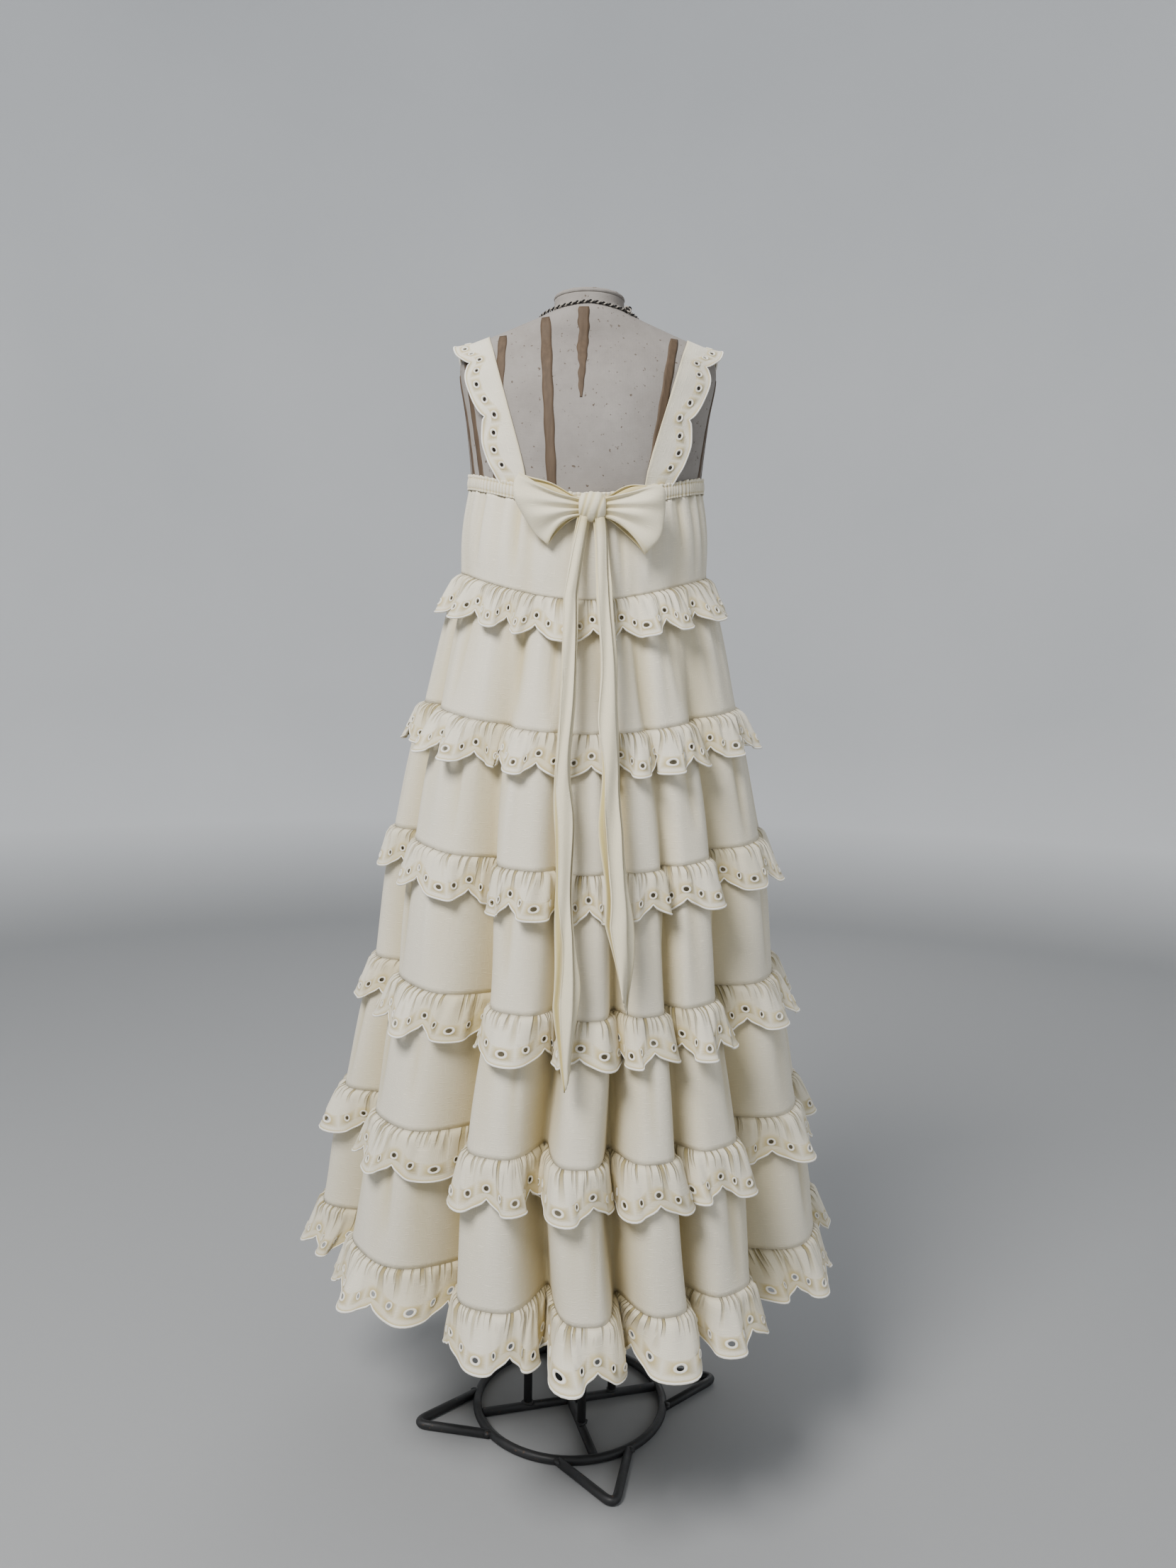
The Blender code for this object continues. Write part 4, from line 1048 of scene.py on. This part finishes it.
def border_cells(cells, closed, depth, rise, width):
    """Places on the flat border, counted in scallops and metres down, with the faces between them.

    It also gives how far each point is raised by stitching, and marks the line just outside the stitches,
    which gets painted shade.
    Each cell is a quarter of a scallop with one eyelet: rows of faces above it, rings of faces from a box
    round the eyelet in to its hole, and rows below it down to the stitched edge.
    """
    pitch = width / EYELETS_A_SCALLOP
    rows = SEAM_ROWS + CELL_COLUMNS + FOOT_ROWS + EDGE_ROWS + 1
    columns = cells * CELL_COLUMNS + (0 if closed else 1)
    place = (np.arange(columns) / CELL_COLUMNS - 0.5) / EYELETS_A_SCALLOP
    middle = depth - EYELET_INSET - EYELET_LIFT * ((1 + np.cos(2 * np.pi * place)) / 2) ** 1.8
    edge = scallop_depth(place, depth, rise)
    step = 0.004
    fall = scallop_depth(place + step, depth, rise) - scallop_depth(place - step, depth, rise)
    slant = np.minimum(np.hypot(1, fall / (2 * step * width)), 2.2)
    low = np.minimum(middle + HOLE_BOX, edge - EDGE_CORD * slant - 0.0008)
    high = middle - HOLE_BOX
    bands = [
        high * (np.linspace(0, 1, SEAM_ROWS + 1)[:-1, None] ** 1.25),
        high + (low - high) * np.linspace(0, 1, CELL_COLUMNS + 1)[:-1, None],
        low + (edge - EDGE_CORD * slant - low) * np.linspace(0, 1, FOOT_ROWS + 1)[:-1, None],
        edge - EDGE_CORD * slant * np.linspace(1, 0, EDGE_ROWS + 1)[:, None],
    ]
    grid_down = np.concatenate(bands)
    grid_place = np.broadcast_to(place, grid_down.shape)
    from_edge = np.where(np.arange(rows)[:, None] > rows - EDGE_ROWS - 2, (edge - grid_down) / slant, 1.0)
    stitch = np.sqrt(np.clip(1 - ((from_edge - EDGE_CORD / 2) / (EDGE_CORD / 2)) ** 2, 0, 1))
    quads = grid_quads(rows, columns, closed=closed)
    row = np.repeat(np.arange(rows - 1), cells * CELL_COLUMNS)
    quads = quads[(row < SEAM_ROWS) | (row >= SEAM_ROWS + CELL_COLUMNS)]
    side = np.arange(CELL_COLUMNS)
    top, bottom, right = SEAM_ROWS + 0 * side, SEAM_ROWS + CELL_COLUMNS + 0 * side, CELL_COLUMNS + 0 * side
    walk_row = np.concatenate([top, SEAM_ROWS + side, bottom, SEAM_ROWS + CELL_COLUMNS - side])
    walk_column = np.concatenate([side, right, CELL_COLUMNS - side, 0 * side])
    cell = np.arange(cells)[:, None]
    box = walk_row * columns + (cell * CELL_COLUMNS + walk_column) % (columns if closed else columns + 1)
    centre_place = np.arange(cells) / EYELETS_A_SCALLOP
    centre_down = grid_down.ravel()[box].reshape(cells, -1).mean(axis=1)
    across = (walk_column / CELL_COLUMNS - 0.5) * pitch
    down = (walk_row - SEAM_ROWS - CELL_COLUMNS / 2) / CELL_COLUMNS * 2 * HOLE_BOX
    length = np.hypot(across, down)
    ring_place, ring_down, ring_raise = [], [], []
    for reach, raised in RINGS:
        ring_place.append(centre_place[:, None] + across / length * reach / width)
        ring_down.append(centre_down[:, None] + down / length * reach)
        ring_raise.append(np.full((cells, len(across)), raised))
    around = len(across)
    walk = cell * around + np.arange(around)
    numbers = [box] + [rows * columns + i * cells * around + walk for i in range(len(RINGS))]
    for outer, inner in zip(numbers[:-1], numbers[1:]):
        ring = np.stack([outer, inner, np.roll(inner, -1, axis=1), np.roll(outer, -1, axis=1)], axis=-1)
        quads = np.concatenate([quads, ring.reshape(-1, 4)])
    # The line just outside the stitches, which gets painted shade.
    stitch_shade_line = np.zeros(grid_down.shape)
    stitch_shade_line[rows - EDGE_ROWS - 1] = 1
    ring_shade_line = [np.full((cells, around), 1.0 if i == 0 else 0.0) for i in range(len(RINGS))]
    place, down, raised, stitch_shade_line = (
        np.concatenate([grid.ravel(), *[ring.ravel() for ring in rings]])
        for grid, rings in (
            (grid_place, ring_place),
            (grid_down, ring_down),
            (stitch * STITCH_RISE, ring_raise),
            (stitch_shade_line, ring_shade_line),
        )
    )
    return place, down, raised, stitch_shade_line, quads


def ruffle_surface(number):
    """The function that places a ruffle's point from its place in scallops and its distance down the strip.

    Each scallop is one wave of the gathered edge, (1 - cos) / 2 out from the tier, uneven in depth and lean.
    Small tucks fan down from the seam and fade.
    """
    scallops, depth, _ = RUFFLES[number - 1]

    def uneven(place, seed, repeats=1):
        return smooth_noise(place, 100 * number + seed, scallops * repeats)

    def surface(place, down):
        fall = np.clip(down / depth, 0, 1.1)
        moved = place + 0.20 * uneven(place, 0)
        lean = 0.22 * uneven(place + 0.5, 1) * fall**1.4
        share = (moved + lean * 0.6 + 0.05 * np.sin(4 * np.pi * place) * fall) / scallops
        degrees = seam_angle(number, share)
        droop = 0.97 - 0.05 * uneven(place, 2)
        spans = height(degrees, number) - height(degrees, number + 1)
        level = number + np.minimum(down * droop / spans, 0.999)
        near = fold_shape(degrees + drift(degrees, level))[1]
        open_fold = 1 - 0.62 * level_row(level)[4] * (1 - near)
        turn = 2 * np.pi * place
        wave = (1 - np.cos(turn + 0.20 * np.pi * np.sin(turn) * uneven(place, 3))) / 2
        swing = 0.0105 * (1 + 0.55 * uneven(place - 0.5, 4)) * open_fold
        second = 0.0030 * np.sin(2 * turn + 2 * uneven(place, 5)) * open_fold
        notch = 0.0054 + 0.0024 * uneven(place, 6)
        tucks = 0.0015 * (1 + np.sin(5 * turn + 2.3 * uneven(place * 2, 7, 2)))
        wide_tucks = 0.0019 * (1 + np.sin(3 * turn + 2.6 * uneven(place, 8)))
        off = 0.0013 - 0.0019 * np.exp(-down / 0.0016)
        off = off + tucks * np.minimum(down / 0.004, 1) * np.exp(-down / 0.026)
        off = off + wide_tucks * np.minimum(down / 0.006, 1) * np.exp(-down / 0.045)
        off = off + notch * fall + (swing + second) * wave * fall**0.9
        spot = round_point(degrees, radius(degrees, level), height(degrees, number) - down * droop)
        return spot + outward(degrees, level) * off[..., None]

    return surface


def ruffle_valley(number, place):
    """How deep in a fold of the dress each place round a ruffle lies, and the share of folds there."""
    degrees = seam_angle(number, place / RUFFLES[number - 1][0])
    return 1 - fold_shape(degrees + drift(degrees, number))[1], level_row(number)[4]


def make_ruffle(number):
    """One gathered ruffle all round the dress, standing for its two halves."""
    scallops, depth, scallop_width = RUFFLES[number - 1]
    place, down, raised, stitch_shade_line, quads = border_cells(
        scallops * EYELETS_A_SCALLOP, True, depth, SCALLOP_RISE, scallop_width
    )
    surface = ruffle_surface(number)
    points = surface(place, down)
    normals = face_normals(surface, place, down, 0.012, 0.0008)
    off_notch = (1 - np.cos(2 * np.pi * place)) / 2
    fall = down / depth
    valley, folds = ruffle_valley(number, place)
    # Painted shade towards the notches and lower down on each scallop, just under the seam, and in the
    # dress's fold valleys.
    deep = (1 - off_notch) ** 2 * fall * 0.45 + 0.12 * np.exp(-down / 0.010)
    deep = np.clip(deep + 0.75 * valley**1.1 * np.sqrt(folds), 0, 1)
    stitched = np.clip(raised / 0.0007, 0, 1)
    seam = np.clip(1 - down / 0.0016, 0, 1)
    # Painted shade along the line outside the stitches, and a faint darker seam line.
    lined = np.maximum(0.85 * stitch_shade_line, 0.10 * seam)
    length = scallops * scallop_width
    piece = cloth_shell(
        f"ruffle_{number}_border",
        points,
        normals,
        quads,
        together(place * scallop_width, down),
        together(deep, stitched, lined),
        BORDER,
        0.0007 + 2 * raised + 0.0005 * seam,
        round_length=length,
    )
    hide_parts(f"ruffle_{number}_left", f"ruffle_{number}_right")
    declare_dress(piece)


for ruffle_number in range(1, 7):
    make_ruffle(ruffle_number)

# The straps: a length of the same scalloped border each, its plain edge towards the neck, sewn inside the
# casing at both ends. They lie on the shoulders and their scalloped edge stands a little off the form.
STRAP = np.array(  # the right one's inner edge, then the degrees by which it turns outward and droops
    [
        (0.0720, -0.1050, 1.2820, 29, -4),
        (0.0840, -0.0960, 1.3300, 27, 0),
        (0.1000, -0.0830, 1.3850, 28, 4),
        (0.1150, -0.0650, 1.4370, 28, 8),
        (0.1240, -0.0440, 1.4690, 20, 12),
        (0.1300, 0.0000, 1.4893, 0, 15),
        (0.1240, 0.0440, 1.4690, -20, 12),
        (0.1150, 0.0650, 1.4400, -28, 8),
        (0.1010, 0.0830, 1.3900, -28, 4),
        (0.0880, 0.0950, 1.3450, -27, 0),
        (0.0780, 0.1025, 1.3100, -29, -4),
    ]
)
STRAP_WIDTH = 0.052
STRAP_SCALLOP = 0.078  # width of a scallop
STRAP_RISE = 0.014
STRAP_SCALLOPS = 6
STRAP_START = -0.125  # in scallops: half a cell before the first notch
STRAP_LIFT = 0.0021  # least distance off the form
SEWN_IN = 0.05  # share of the strap at each end that runs in behind the casing


def strap_surface(place, down):
    """A point of the right strap from its place in scallops and its distance from the plain edge.

    The plain edge is a smooth curve through the table; the strap runs out from it, and is then pushed off the
    form, in small steps, until it clears it. Its scalloped edge lifts unevenly.
    """
    along = np.clip((place - STRAP_START) / STRAP_SCALLOPS, 0, 1)
    row = along * (len(STRAP) - 1)
    values = spline(STRAP, row)
    after, before = np.clip(row + 0.05, 0, len(STRAP) - 1), np.clip(row - 0.05, 0, len(STRAP) - 1)
    ahead = spline(STRAP, after) - spline(STRAP, before)
    turn, droop = np.radians(values[..., 3]), np.radians(values[..., 4])
    out = together(np.cos(turn) * np.cos(droop), np.sin(turn), -np.sin(droop))
    normal = unit(np.cross(out, ahead[..., :3]))
    spot = values[..., :3] + out * down[..., None]
    for _ in range(45):
        wide, deep = form_reach(spot[..., 2])
        clear = (np.hypot(spot[..., 0] / wide, spot[..., 1] / deep) - 1) * (wide + deep) / 2
        push = np.clip((STRAP_LIFT - clear) / 0.002, 0, 1)
        spot = spot + normal * (0.0006 * push)[..., None]
    fall = np.clip(down / STRAP_WIDTH, 0, 1.1)
    middle = np.sin(np.pi * along) ** 0.35
    lift = fall**1.6 * (0.0030 + 0.0030 * smooth_noise(place * 1.0 + 3, 71, 9)) * middle
    ripple = 0.0011 * np.sin(2 * np.pi * place * 2 + 1.5 * smooth_noise(place + 3, 72, 9)) * fall * middle
    spot = spot + normal * (lift + ripple)[..., None]
    degrees = np.degrees(np.arctan2(spot[..., 0], -spot[..., 1]))
    sewn = eased(np.clip(1 - np.minimum(along, 1 - along) / SEWN_IN, 0, 1))
    inside = round_point(degrees, radius(degrees, 0) - 0.0031, height(degrees, 0) - 0.009)
    return spot + (inside - spot) * sewn[..., None]


def make_strap(side):
    """One strap; the left one is the right one's mirror, with its faces turned back the right way."""
    cells = STRAP_SCALLOPS * EYELETS_A_SCALLOP
    place, down, raised, stitch_shade_line, quads = border_cells(cells, False, STRAP_WIDTH, STRAP_RISE, STRAP_SCALLOP)
    points = strap_surface(place, down)
    normals = -face_normals(strap_surface, place, down, 0.02, 0.0012)
    stitched = np.clip(raised / 0.0007, 0, 1)
    hem = np.clip(1 - down / 0.0022, 0, 1)
    deep = 0.25 * np.exp(-down / 0.006)
    mirror = np.array([-1, 1, 1]) if side == "left" else np.array([1, 1, 1])
    # Marks: darker along the plain edge, painted shade along the line outside the stitches, and a darker hem
    # line.
    piece = cloth_shell(
        f"strap_{side}_border",
        points * mirror,
        normals * mirror,
        quads if side == "left" else quads[:, ::-1],
        together(place * STRAP_SCALLOP, down),
        together(deep, stitched, np.maximum(0.85 * stitch_shade_line, 0.25 * hem)),
        CREAM,
        0.0008 + 2 * raised + 0.0006 * hem,
    )
    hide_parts(f"strap_{side}")
    declare_dress(piece)


make_strap("left")
make_strap("right")

# The casing: the bodice's top edge folded over elastic and stitched down twice, so that it puckers all round.
# The fold stands a few millimetres above the upper stitching as a small frill.
CASING_FRILL = 0.004
CASING_PUCKERS = 156
CASING_COLUMNS = 780
CASING_UPPER, CASING_LOWER = 0.20, 0.84  # shares of the way down of the two rows of stitches
CASING_SHARES = np.array(
    [0, 0.10, 0.17, 0.20, 0.24, 0.32, 0.42, 0.52, 0.62, 0.72, 0.80, 0.84, 0.88, 0.94, 1.0]
)
CASING_THICK = np.array([1.3, 1.5, 1.1, 0.8, 1.4, 2.3, 2.7, 2.8, 2.7, 2.3, 1.5, 0.8, 1.2, 1.4, 1.2]) / 1000
CASING_FULLNESS = 1.75  # of the weave's map, whose threads crowd together on the elastic


def pucker_phase(share):
    """Where on its pucker each place round the casing lies, in radians, with the puckers unevenly wide."""
    return 2 * np.pi * CASING_PUCKERS * share + 2.4 * smooth_noise(share * 40, 81, 40)


def casing_surface(share, down):
    """The casing's middle: the bodice's oval, puckered by small waves that are strongest at its free edge."""
    degrees = seam_angle(1, share)
    phase = pucker_phase(share)
    uneven = 0.55 + 0.45 * smooth_noise(share * 61, 82, 61)
    free = np.clip(1 - down / 0.2, 0, 1)
    pucker = np.sin(phase) * uneven * (0.0010 + 0.0012 * free)
    slow = 0.0010 * smooth_noise(share * 23, 83, 23)
    level = np.clip(down, 0, 1) * TOP_OF_BODICE
    z = height(degrees, 0) + CASING_FRILL - down * (CASING_HEIGHT + CASING_FRILL)
    z = z + free * 0.0012 * np.sin(phase * 0.5 + 1) * uneven
    return round_point(degrees, radius(degrees, level) - 0.0004 + pucker + slow, z)


def make_casing():
    """The puckered ring, thin at its two rows of stitches and thick over the elastic between them."""
    share, down = np.meshgrid(np.arange(CASING_COLUMNS) / CASING_COLUMNS, CASING_SHARES)
    points = casing_surface(share, down)
    normals = face_normals(casing_surface, share, down, 0.3 / CASING_COLUMNS, 0.02)
    # Painted shade in the hollow of each pucker, and darker along the two rows of stitches.
    deep = np.clip(0.32 - 0.45 * np.sin(pucker_phase(share)), 0, 1) * 0.8
    stitches = sum(np.exp(-(((down - row) / 0.03) ** 2)) for row in (CASING_UPPER, CASING_LOWER))
    length = SEAMS[1][2] * CASING_FULLNESS
    width = CASING_HEIGHT + CASING_FRILL
    piece = cloth_shell(
        "casing_puckered",
        points,
        normals,
        grid_quads(len(CASING_SHARES), CASING_COLUMNS, closed=True),
        together(share * length, down * width),
        together(np.clip(deep + 0.4 * stitches, 0, 1), 0 * deep, 0.2 * stitches),
        CREAM,
        np.repeat(CASING_THICK, CASING_COLUMNS),
        round_length=length,
    )
    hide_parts("top_casing")
    declare_dress(piece)


make_casing()

# The bow: a sash of the same weave in a deeper cream, tied at the middle of the casing. Its two loops are
# pleated into the knot, each a front and a back layer, and the ends hang down over the ruffles.
# Its tones: flat, painted shade in folds, thread.
SASH = woven_cloth("sash linen", (0.83, 0.76, 0.57), (0.60, 0.49, 0.20), (0.84, 0.78, 0.64), 0.6)
SASH_SHELL = 0.0009
SASH_WIDTH = 0.080
KNOT_CENTRE = np.array([0.009, -0.1320, 1.256])
KNOT_SIZE = np.array([0.034, 0.025, 0.037])
KNOT_ROWS, KNOT_SIDES = 40, 72
# Each crease round the knot: its middle across, its lean and its width, in half widths, and its depth.
KNOT_CREASES = ((-0.60, 0.22, 0.11, 1.0), (-0.18, 0.34, 0.13, 0.7), (0.52, 0.30, 0.12, 0.9))
KNOT_MAP = (0.015, 0.02)  # metres of cloth to a radian round the knot and across it
LOOP_MAP = (0.172, 0.085)  # metres of cloth round a loop and across it, on the weave's map
LOOP_ROWS, LOOP_COLUMNS = 46, 96
LOOP_OPEN = 0.28  # radians of the turn that each layer leaves open at the knot
LOOP_DEPTH = 0.022
# For lines across each loop, from its top edge to its bottom edge: where it leaves the knot, a point that
# pulls the line on its way, and where it turns at the end, as (x, z) from the knot's middle in millimetres.
LOOP_LINES = {
    "left": (
        (-14, 11, -52, 10, -90, 41),
        (-15, 6, -60, 16, -97, 28),
        (-15, 1, -60, 4, -96, 8),
        (-15, -4, -52, -6, -84, -14),
        (-15, -8, -44, -10, -70, -34),
        (-14, -12, -42, -14, -54, -47),
    ),
    "right": (
        (14, 12, 46, 14, 76, 29),
        (15, 7, 56, 18, 88, 23),
        (15, 2, 58, 4, 90, 6),
        (15, -3, 54, -6, 89, -14),
        (15, -8, 48, -14, 84, -36),
        (14, -13, 42, -18, 66, -57),
    ),
}
# Pleats of a loop: place across at the knot and at the end, width, and depth in millimetres.
LOOP_PLEATS = (
    (0.10, 0.05, 0.035, 2.2),
    (0.24, 0.20, 0.050, -2.6),
    (0.38, 0.37, 0.045, 2.8),
    (0.52, 0.50, 0.040, -2.0),
    (0.64, 0.66, 0.050, 2.6),
    (0.80, 0.84, 0.045, -2.4),
    (0.92, 0.97, 0.035, 1.8),
)
TAIL_WIDTH = 0.042  # of the folded sash where its share is 1
TAIL_ROWS, TAIL_COLUMNS = 110, 44
TAIL_CLEARANCE = 0.030  # from each ruffle's seam line out to the tail's middle
TAIL_PLACES = (0, 0.15, 0.5, 1)
TAILS = {  # x and share of the width at those places, height of the tip, slant of the tip, seed
    "left": ((0.0, -0.019, -0.020, -0.016), (0.42, 0.56, 0.62, 1.0), 0.587, 0.018, 91),
    "right": ((0.0172, 0.028, 0.036, 0.050), (0.38, 0.52, 0.80, 1.0), 0.675, -0.016, 92),
}
TAIL_POINT = 0.86  # share of the way down at which a tail starts to draw in to its tip
TIP_SHARE = 0.22  # share of the width left at the tip
TIP_SIDE = 0.30  # share of the width by which the tip lies to the right
TAIL_FOLDS = 3  # passes that the folded sash makes across a tail


def loop_surface(side):
    """The function that places a loop's point from its place across and its place round the loop.

    Each line across is a Bezier curve from the knot out to the end and, behind it, back again; the two layers
    are half a lens deep. Pleats run out from the knot as narrow ridges and troughs that soften on their way.
    """
    lines = np.array(LOOP_LINES[side], float) / 1000
    outward_sign = -1 if side == "left" else 1

    def surface(across, around):
        turn = LOOP_OPEN + 2 * (np.pi - LOOP_OPEN) * around
        along = np.clip((math.cos(LOOP_OPEN) - np.cos(turn)) / (math.cos(LOOP_OPEN) + 1), 0, 1)
        behind = np.clip(-np.sin(turn), 0, 1) * np.sin(np.pi * along)
        rows = spline(lines, np.clip(across, 0, 1) * (len(lines) - 1))
        t = along[..., None]
        flat = (1 - t) ** 2 * rows[..., 0:2] + 2 * t * (1 - t) * rows[..., 2:4] + t**2 * rows[..., 4:6]
        x = flat[..., 0] * (1 - 0.05 * behind)
        z = flat[..., 1] + behind * (0.010 - 0.012 * across)
        puff = (0.32 + 0.68 * along**0.7) * (0.72 + 0.28 * np.sin(np.pi * across))
        y = -np.sin(turn) * LOOP_DEPTH / 2 * puff
        relief = 0
        for start, end, width, depth in LOOP_PLEATS:
            middle = start + (end - start) * along + 0.03 * behind
            fade = (1 - along) ** 0.8 + 0.30
            ridge = np.exp(-(((across - middle) / (width * (1 + along))) ** 2))
            relief = relief + depth / 1000 * fade * ridge
        slack = 0.0022 * np.sin(2 * np.pi * (1.3 * across + 0.9 * along) + outward_sign) * along
        y = y - np.sign(np.sin(turn)) * relief * np.abs(np.sin(turn)) ** 0.5 - slack
        return KNOT_CENTRE + np.stack([x, y, z], axis=-1)

    return surface


def make_loop(side):
    """One loop of the bow, with painted shade on its inner side and near the knot, and a narrow hem along
    both edges.
    """
    surface = loop_surface(side)
    grid = (np.linspace(0, 1, LOOP_ROWS), np.linspace(0, 1, LOOP_COLUMNS))
    across, around = np.meshgrid(*grid, indexing="ij")
    points = surface(across, around).reshape(-1, 3)
    along = surface(across, around + 0.004) - surface(across, around - 0.004)
    down = surface(across + 0.004, around) - surface(across - 0.004, around)
    normals = unit(np.cross(down, along) * (1 if side == "right" else -1)).reshape(-1, 3)
    hem = np.clip(1 - np.minimum(across, 1 - across) / 0.05, 0, 1)
    knot_shade = np.clip(1 - np.minimum(around, 1 - around) / 0.14, 0, 1)
    # Painted shade near the knot and all over the inner side, and a darker hem line.
    marks = [together(0.75 * knot_shade, 0 * hem, 0.45 * np.sin(np.pi * hem)), together(0.75, 0, 0 * hem)]
    half = SASH_SHELL * (0.5 + 0.35 * np.clip(hem * 4, 0, 1)).reshape(-1, 1)
    quads = grid_quads(LOOP_ROWS, LOOP_COLUMNS, flip=side == "left")
    faces, layers = thicken(points + normals * half, points - normals * half, quads)
    flat = together(around * LOOP_MAP[0], across * LOOP_MAP[1])
    piece = build_mesh(
        f"bow_loop_{side}_cloth",
        layers,
        faces,
        SASH,
        flat=np.concatenate([flat, flat]),
        marks=np.concatenate(marks),
    )
    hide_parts(f"bow_loop_{side}")
    declare_dress(piece)


def make_knot():
    """The knot: the sash wrapped once over itself, with narrow creases that run round it on a slant."""
    turn = np.linspace(0.02, np.pi - 0.02, KNOT_ROWS)[:, None]
    around = np.linspace(0, 2 * np.pi, KNOT_SIDES, endpoint=False)[None, :]
    across = -np.sign(np.cos(turn)) * np.abs(np.cos(turn)) ** 0.85
    spread = np.sin(turn) ** 0.50
    creases = sum(
        depth * np.exp(-(((across - middle - lean * np.sin(around)) / width) ** 2))
        for middle, lean, width, depth in KNOT_CREASES
    )
    pinch = 1 - 0.10 * np.cos(around) ** 2
    swell = 1.02 - 0.13 * creases * np.sin(turn) ** 0.5
    points = together(across, spread * np.cos(around) * swell, spread * np.sin(around) * swell * pinch)
    # Painted shade in the creases.
    deep = np.clip(creases, 0, 1) * 0.8
    knot = build_mesh(
        "bow_knot_wrapped",
        KNOT_CENTRE + points * KNOT_SIZE / 2,
        grid_quads(KNOT_ROWS, KNOT_SIDES, closed=True),
        SASH,
        flat=together(around * KNOT_MAP[0], turn * KNOT_MAP[1]),
        round_length=2 * np.pi * KNOT_MAP[0],
        marks=together(deep, 0 * deep, 0 * deep),
        caps=end_caps(KNOT_ROWS, KNOT_SIDES),
    )
    face_out(knot)
    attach(knot, "root")
    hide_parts("bow_knot")


def tail_line():
    """Heights and places down the back that the tails hang over: the knot, then each ruffle's lip."""
    near = np.arange(-16.0, 21.0)
    heights, places = [KNOT_CENTRE[2] - 0.017], [KNOT_CENTRE[1]]
    for number, (_, depth, _) in enumerate(RUFFLES[:4], start=1):
        level = number + depth / (LEVELS[number, 1] - LEVELS[number + 1, 1])
        reach = (radius(near, level) * np.cos(np.radians(near))).max()
        heights.append(LEVELS[number, 1] - depth)
        places.append(-(reach + TAIL_CLEARANCE))
    return np.array(heights), np.array(places)


def make_tail(side):
    """A tail: the sash folded lengthwise in three, hanging free to a slanted end.

    Across it the cloth runs to and fro as a cosine while it moves from back to front, so the folds lie on
    each other. Both edges wander, and the whole tail sways slowly on its way down.
    """
    x_places, spreads, tip, slant, seed = TAILS[side]
    heights, places = tail_line()
    top = heights[0] + 0.006

    def surface(across, down):
        z = top + (tip - top) * down
        y = np.interp(-z, -heights, places)
        lower, upper = (np.interp(-(z + step), -heights, places) for step in (0.02, -0.02))
        y = 0.5 * y + 0.25 * (lower + upper)
        middle = np.interp(down, TAIL_PLACES, x_places) + 0.0045 * smooth_noise(down * 6, seed, 8)
        spread = np.interp(down, TAIL_PLACES, spreads)
        drawn = np.clip((down - TAIL_POINT) / (1 - TAIL_POINT), 0, 1)
        width = TAIL_WIDTH * spread * (0.94 + 0.16 * smooth_noise(down * 9, seed + 1, 12))
        middle = middle + TIP_SIDE * width * drawn
        width = width * (1 - (1 - TIP_SHARE) * drawn)
        opened = np.clip((down - 0.45) / 0.25, 0, 1)
        narrower = 1 - (0.36 + 0.26 * opened) * across
        share = 0.5 * np.cos(np.pi * TAIL_FOLDS * across) * narrower
        share = share * (0.88 + 0.20 * smooth_noise(down * 7 + 3 * across, seed + 2, 12))
        share = share + 0.15 * across**2 * smooth_noise(down * 9 + 2, seed + 3, 12)
        x = middle + width * share
        layer = (0.5 - across) * 0.0125 * (0.5 + 0.5 * spread)
        ripple = 0.0030 * np.sin(2 * np.pi * (2.2 * down + 1.4 * share) + seed) * spread
        y = y + layer + ripple - 0.0015
        return together(x, y, z + slant * share * down * 1.6)

    across, down = np.meshgrid(np.linspace(0, 1, TAIL_COLUMNS), np.linspace(0, 1, TAIL_ROWS))
    points = surface(across, down)
    normals = face_normals(surface, across, down, 0.004, 0.002)
    hem = np.clip(1 - np.minimum(across, 1 - across) / 0.035, 0, 1)
    hem = np.maximum(hem, np.clip(1 - (1 - down) / 0.012, 0, 1))
    fold = np.abs(np.cos(np.pi * TAIL_FOLDS * across))
    # Painted shade between the folds, under the knot and in the inner fold, and a little all over.
    deep = 0.25 * (1 - fold) * (1 - across) + 0.5 * np.clip(1 - down / 0.05, 0, 1)
    inside = np.exp(-(((across - 0.405) / 0.05) ** 2)) * (0.4 + 0.6 * np.clip((down - 0.4) / 0.2, 0, 1))
    deep = np.clip(deep + 0.08 + 0.95 * inside, 0, 1)
    length = top - tip
    piece = cloth_shell(
        f"bow_tail_{side}_cloth",
        points,
        normals,
        grid_quads(TAIL_ROWS, TAIL_COLUMNS),
        together(across * SASH_WIDTH, down * length),
        together(deep, 0 * deep, 0.4 * np.sin(np.pi * hem)),
        SASH,
        SASH_SHELL * (1 + 0.7 * np.clip(hem * 4, 0, 1)),
    )
    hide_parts(f"bow_tail_{side}")
    declare_dress(piece)


make_loop("left")
make_loop("right")
make_knot()
make_tail("left")
make_tail("right")
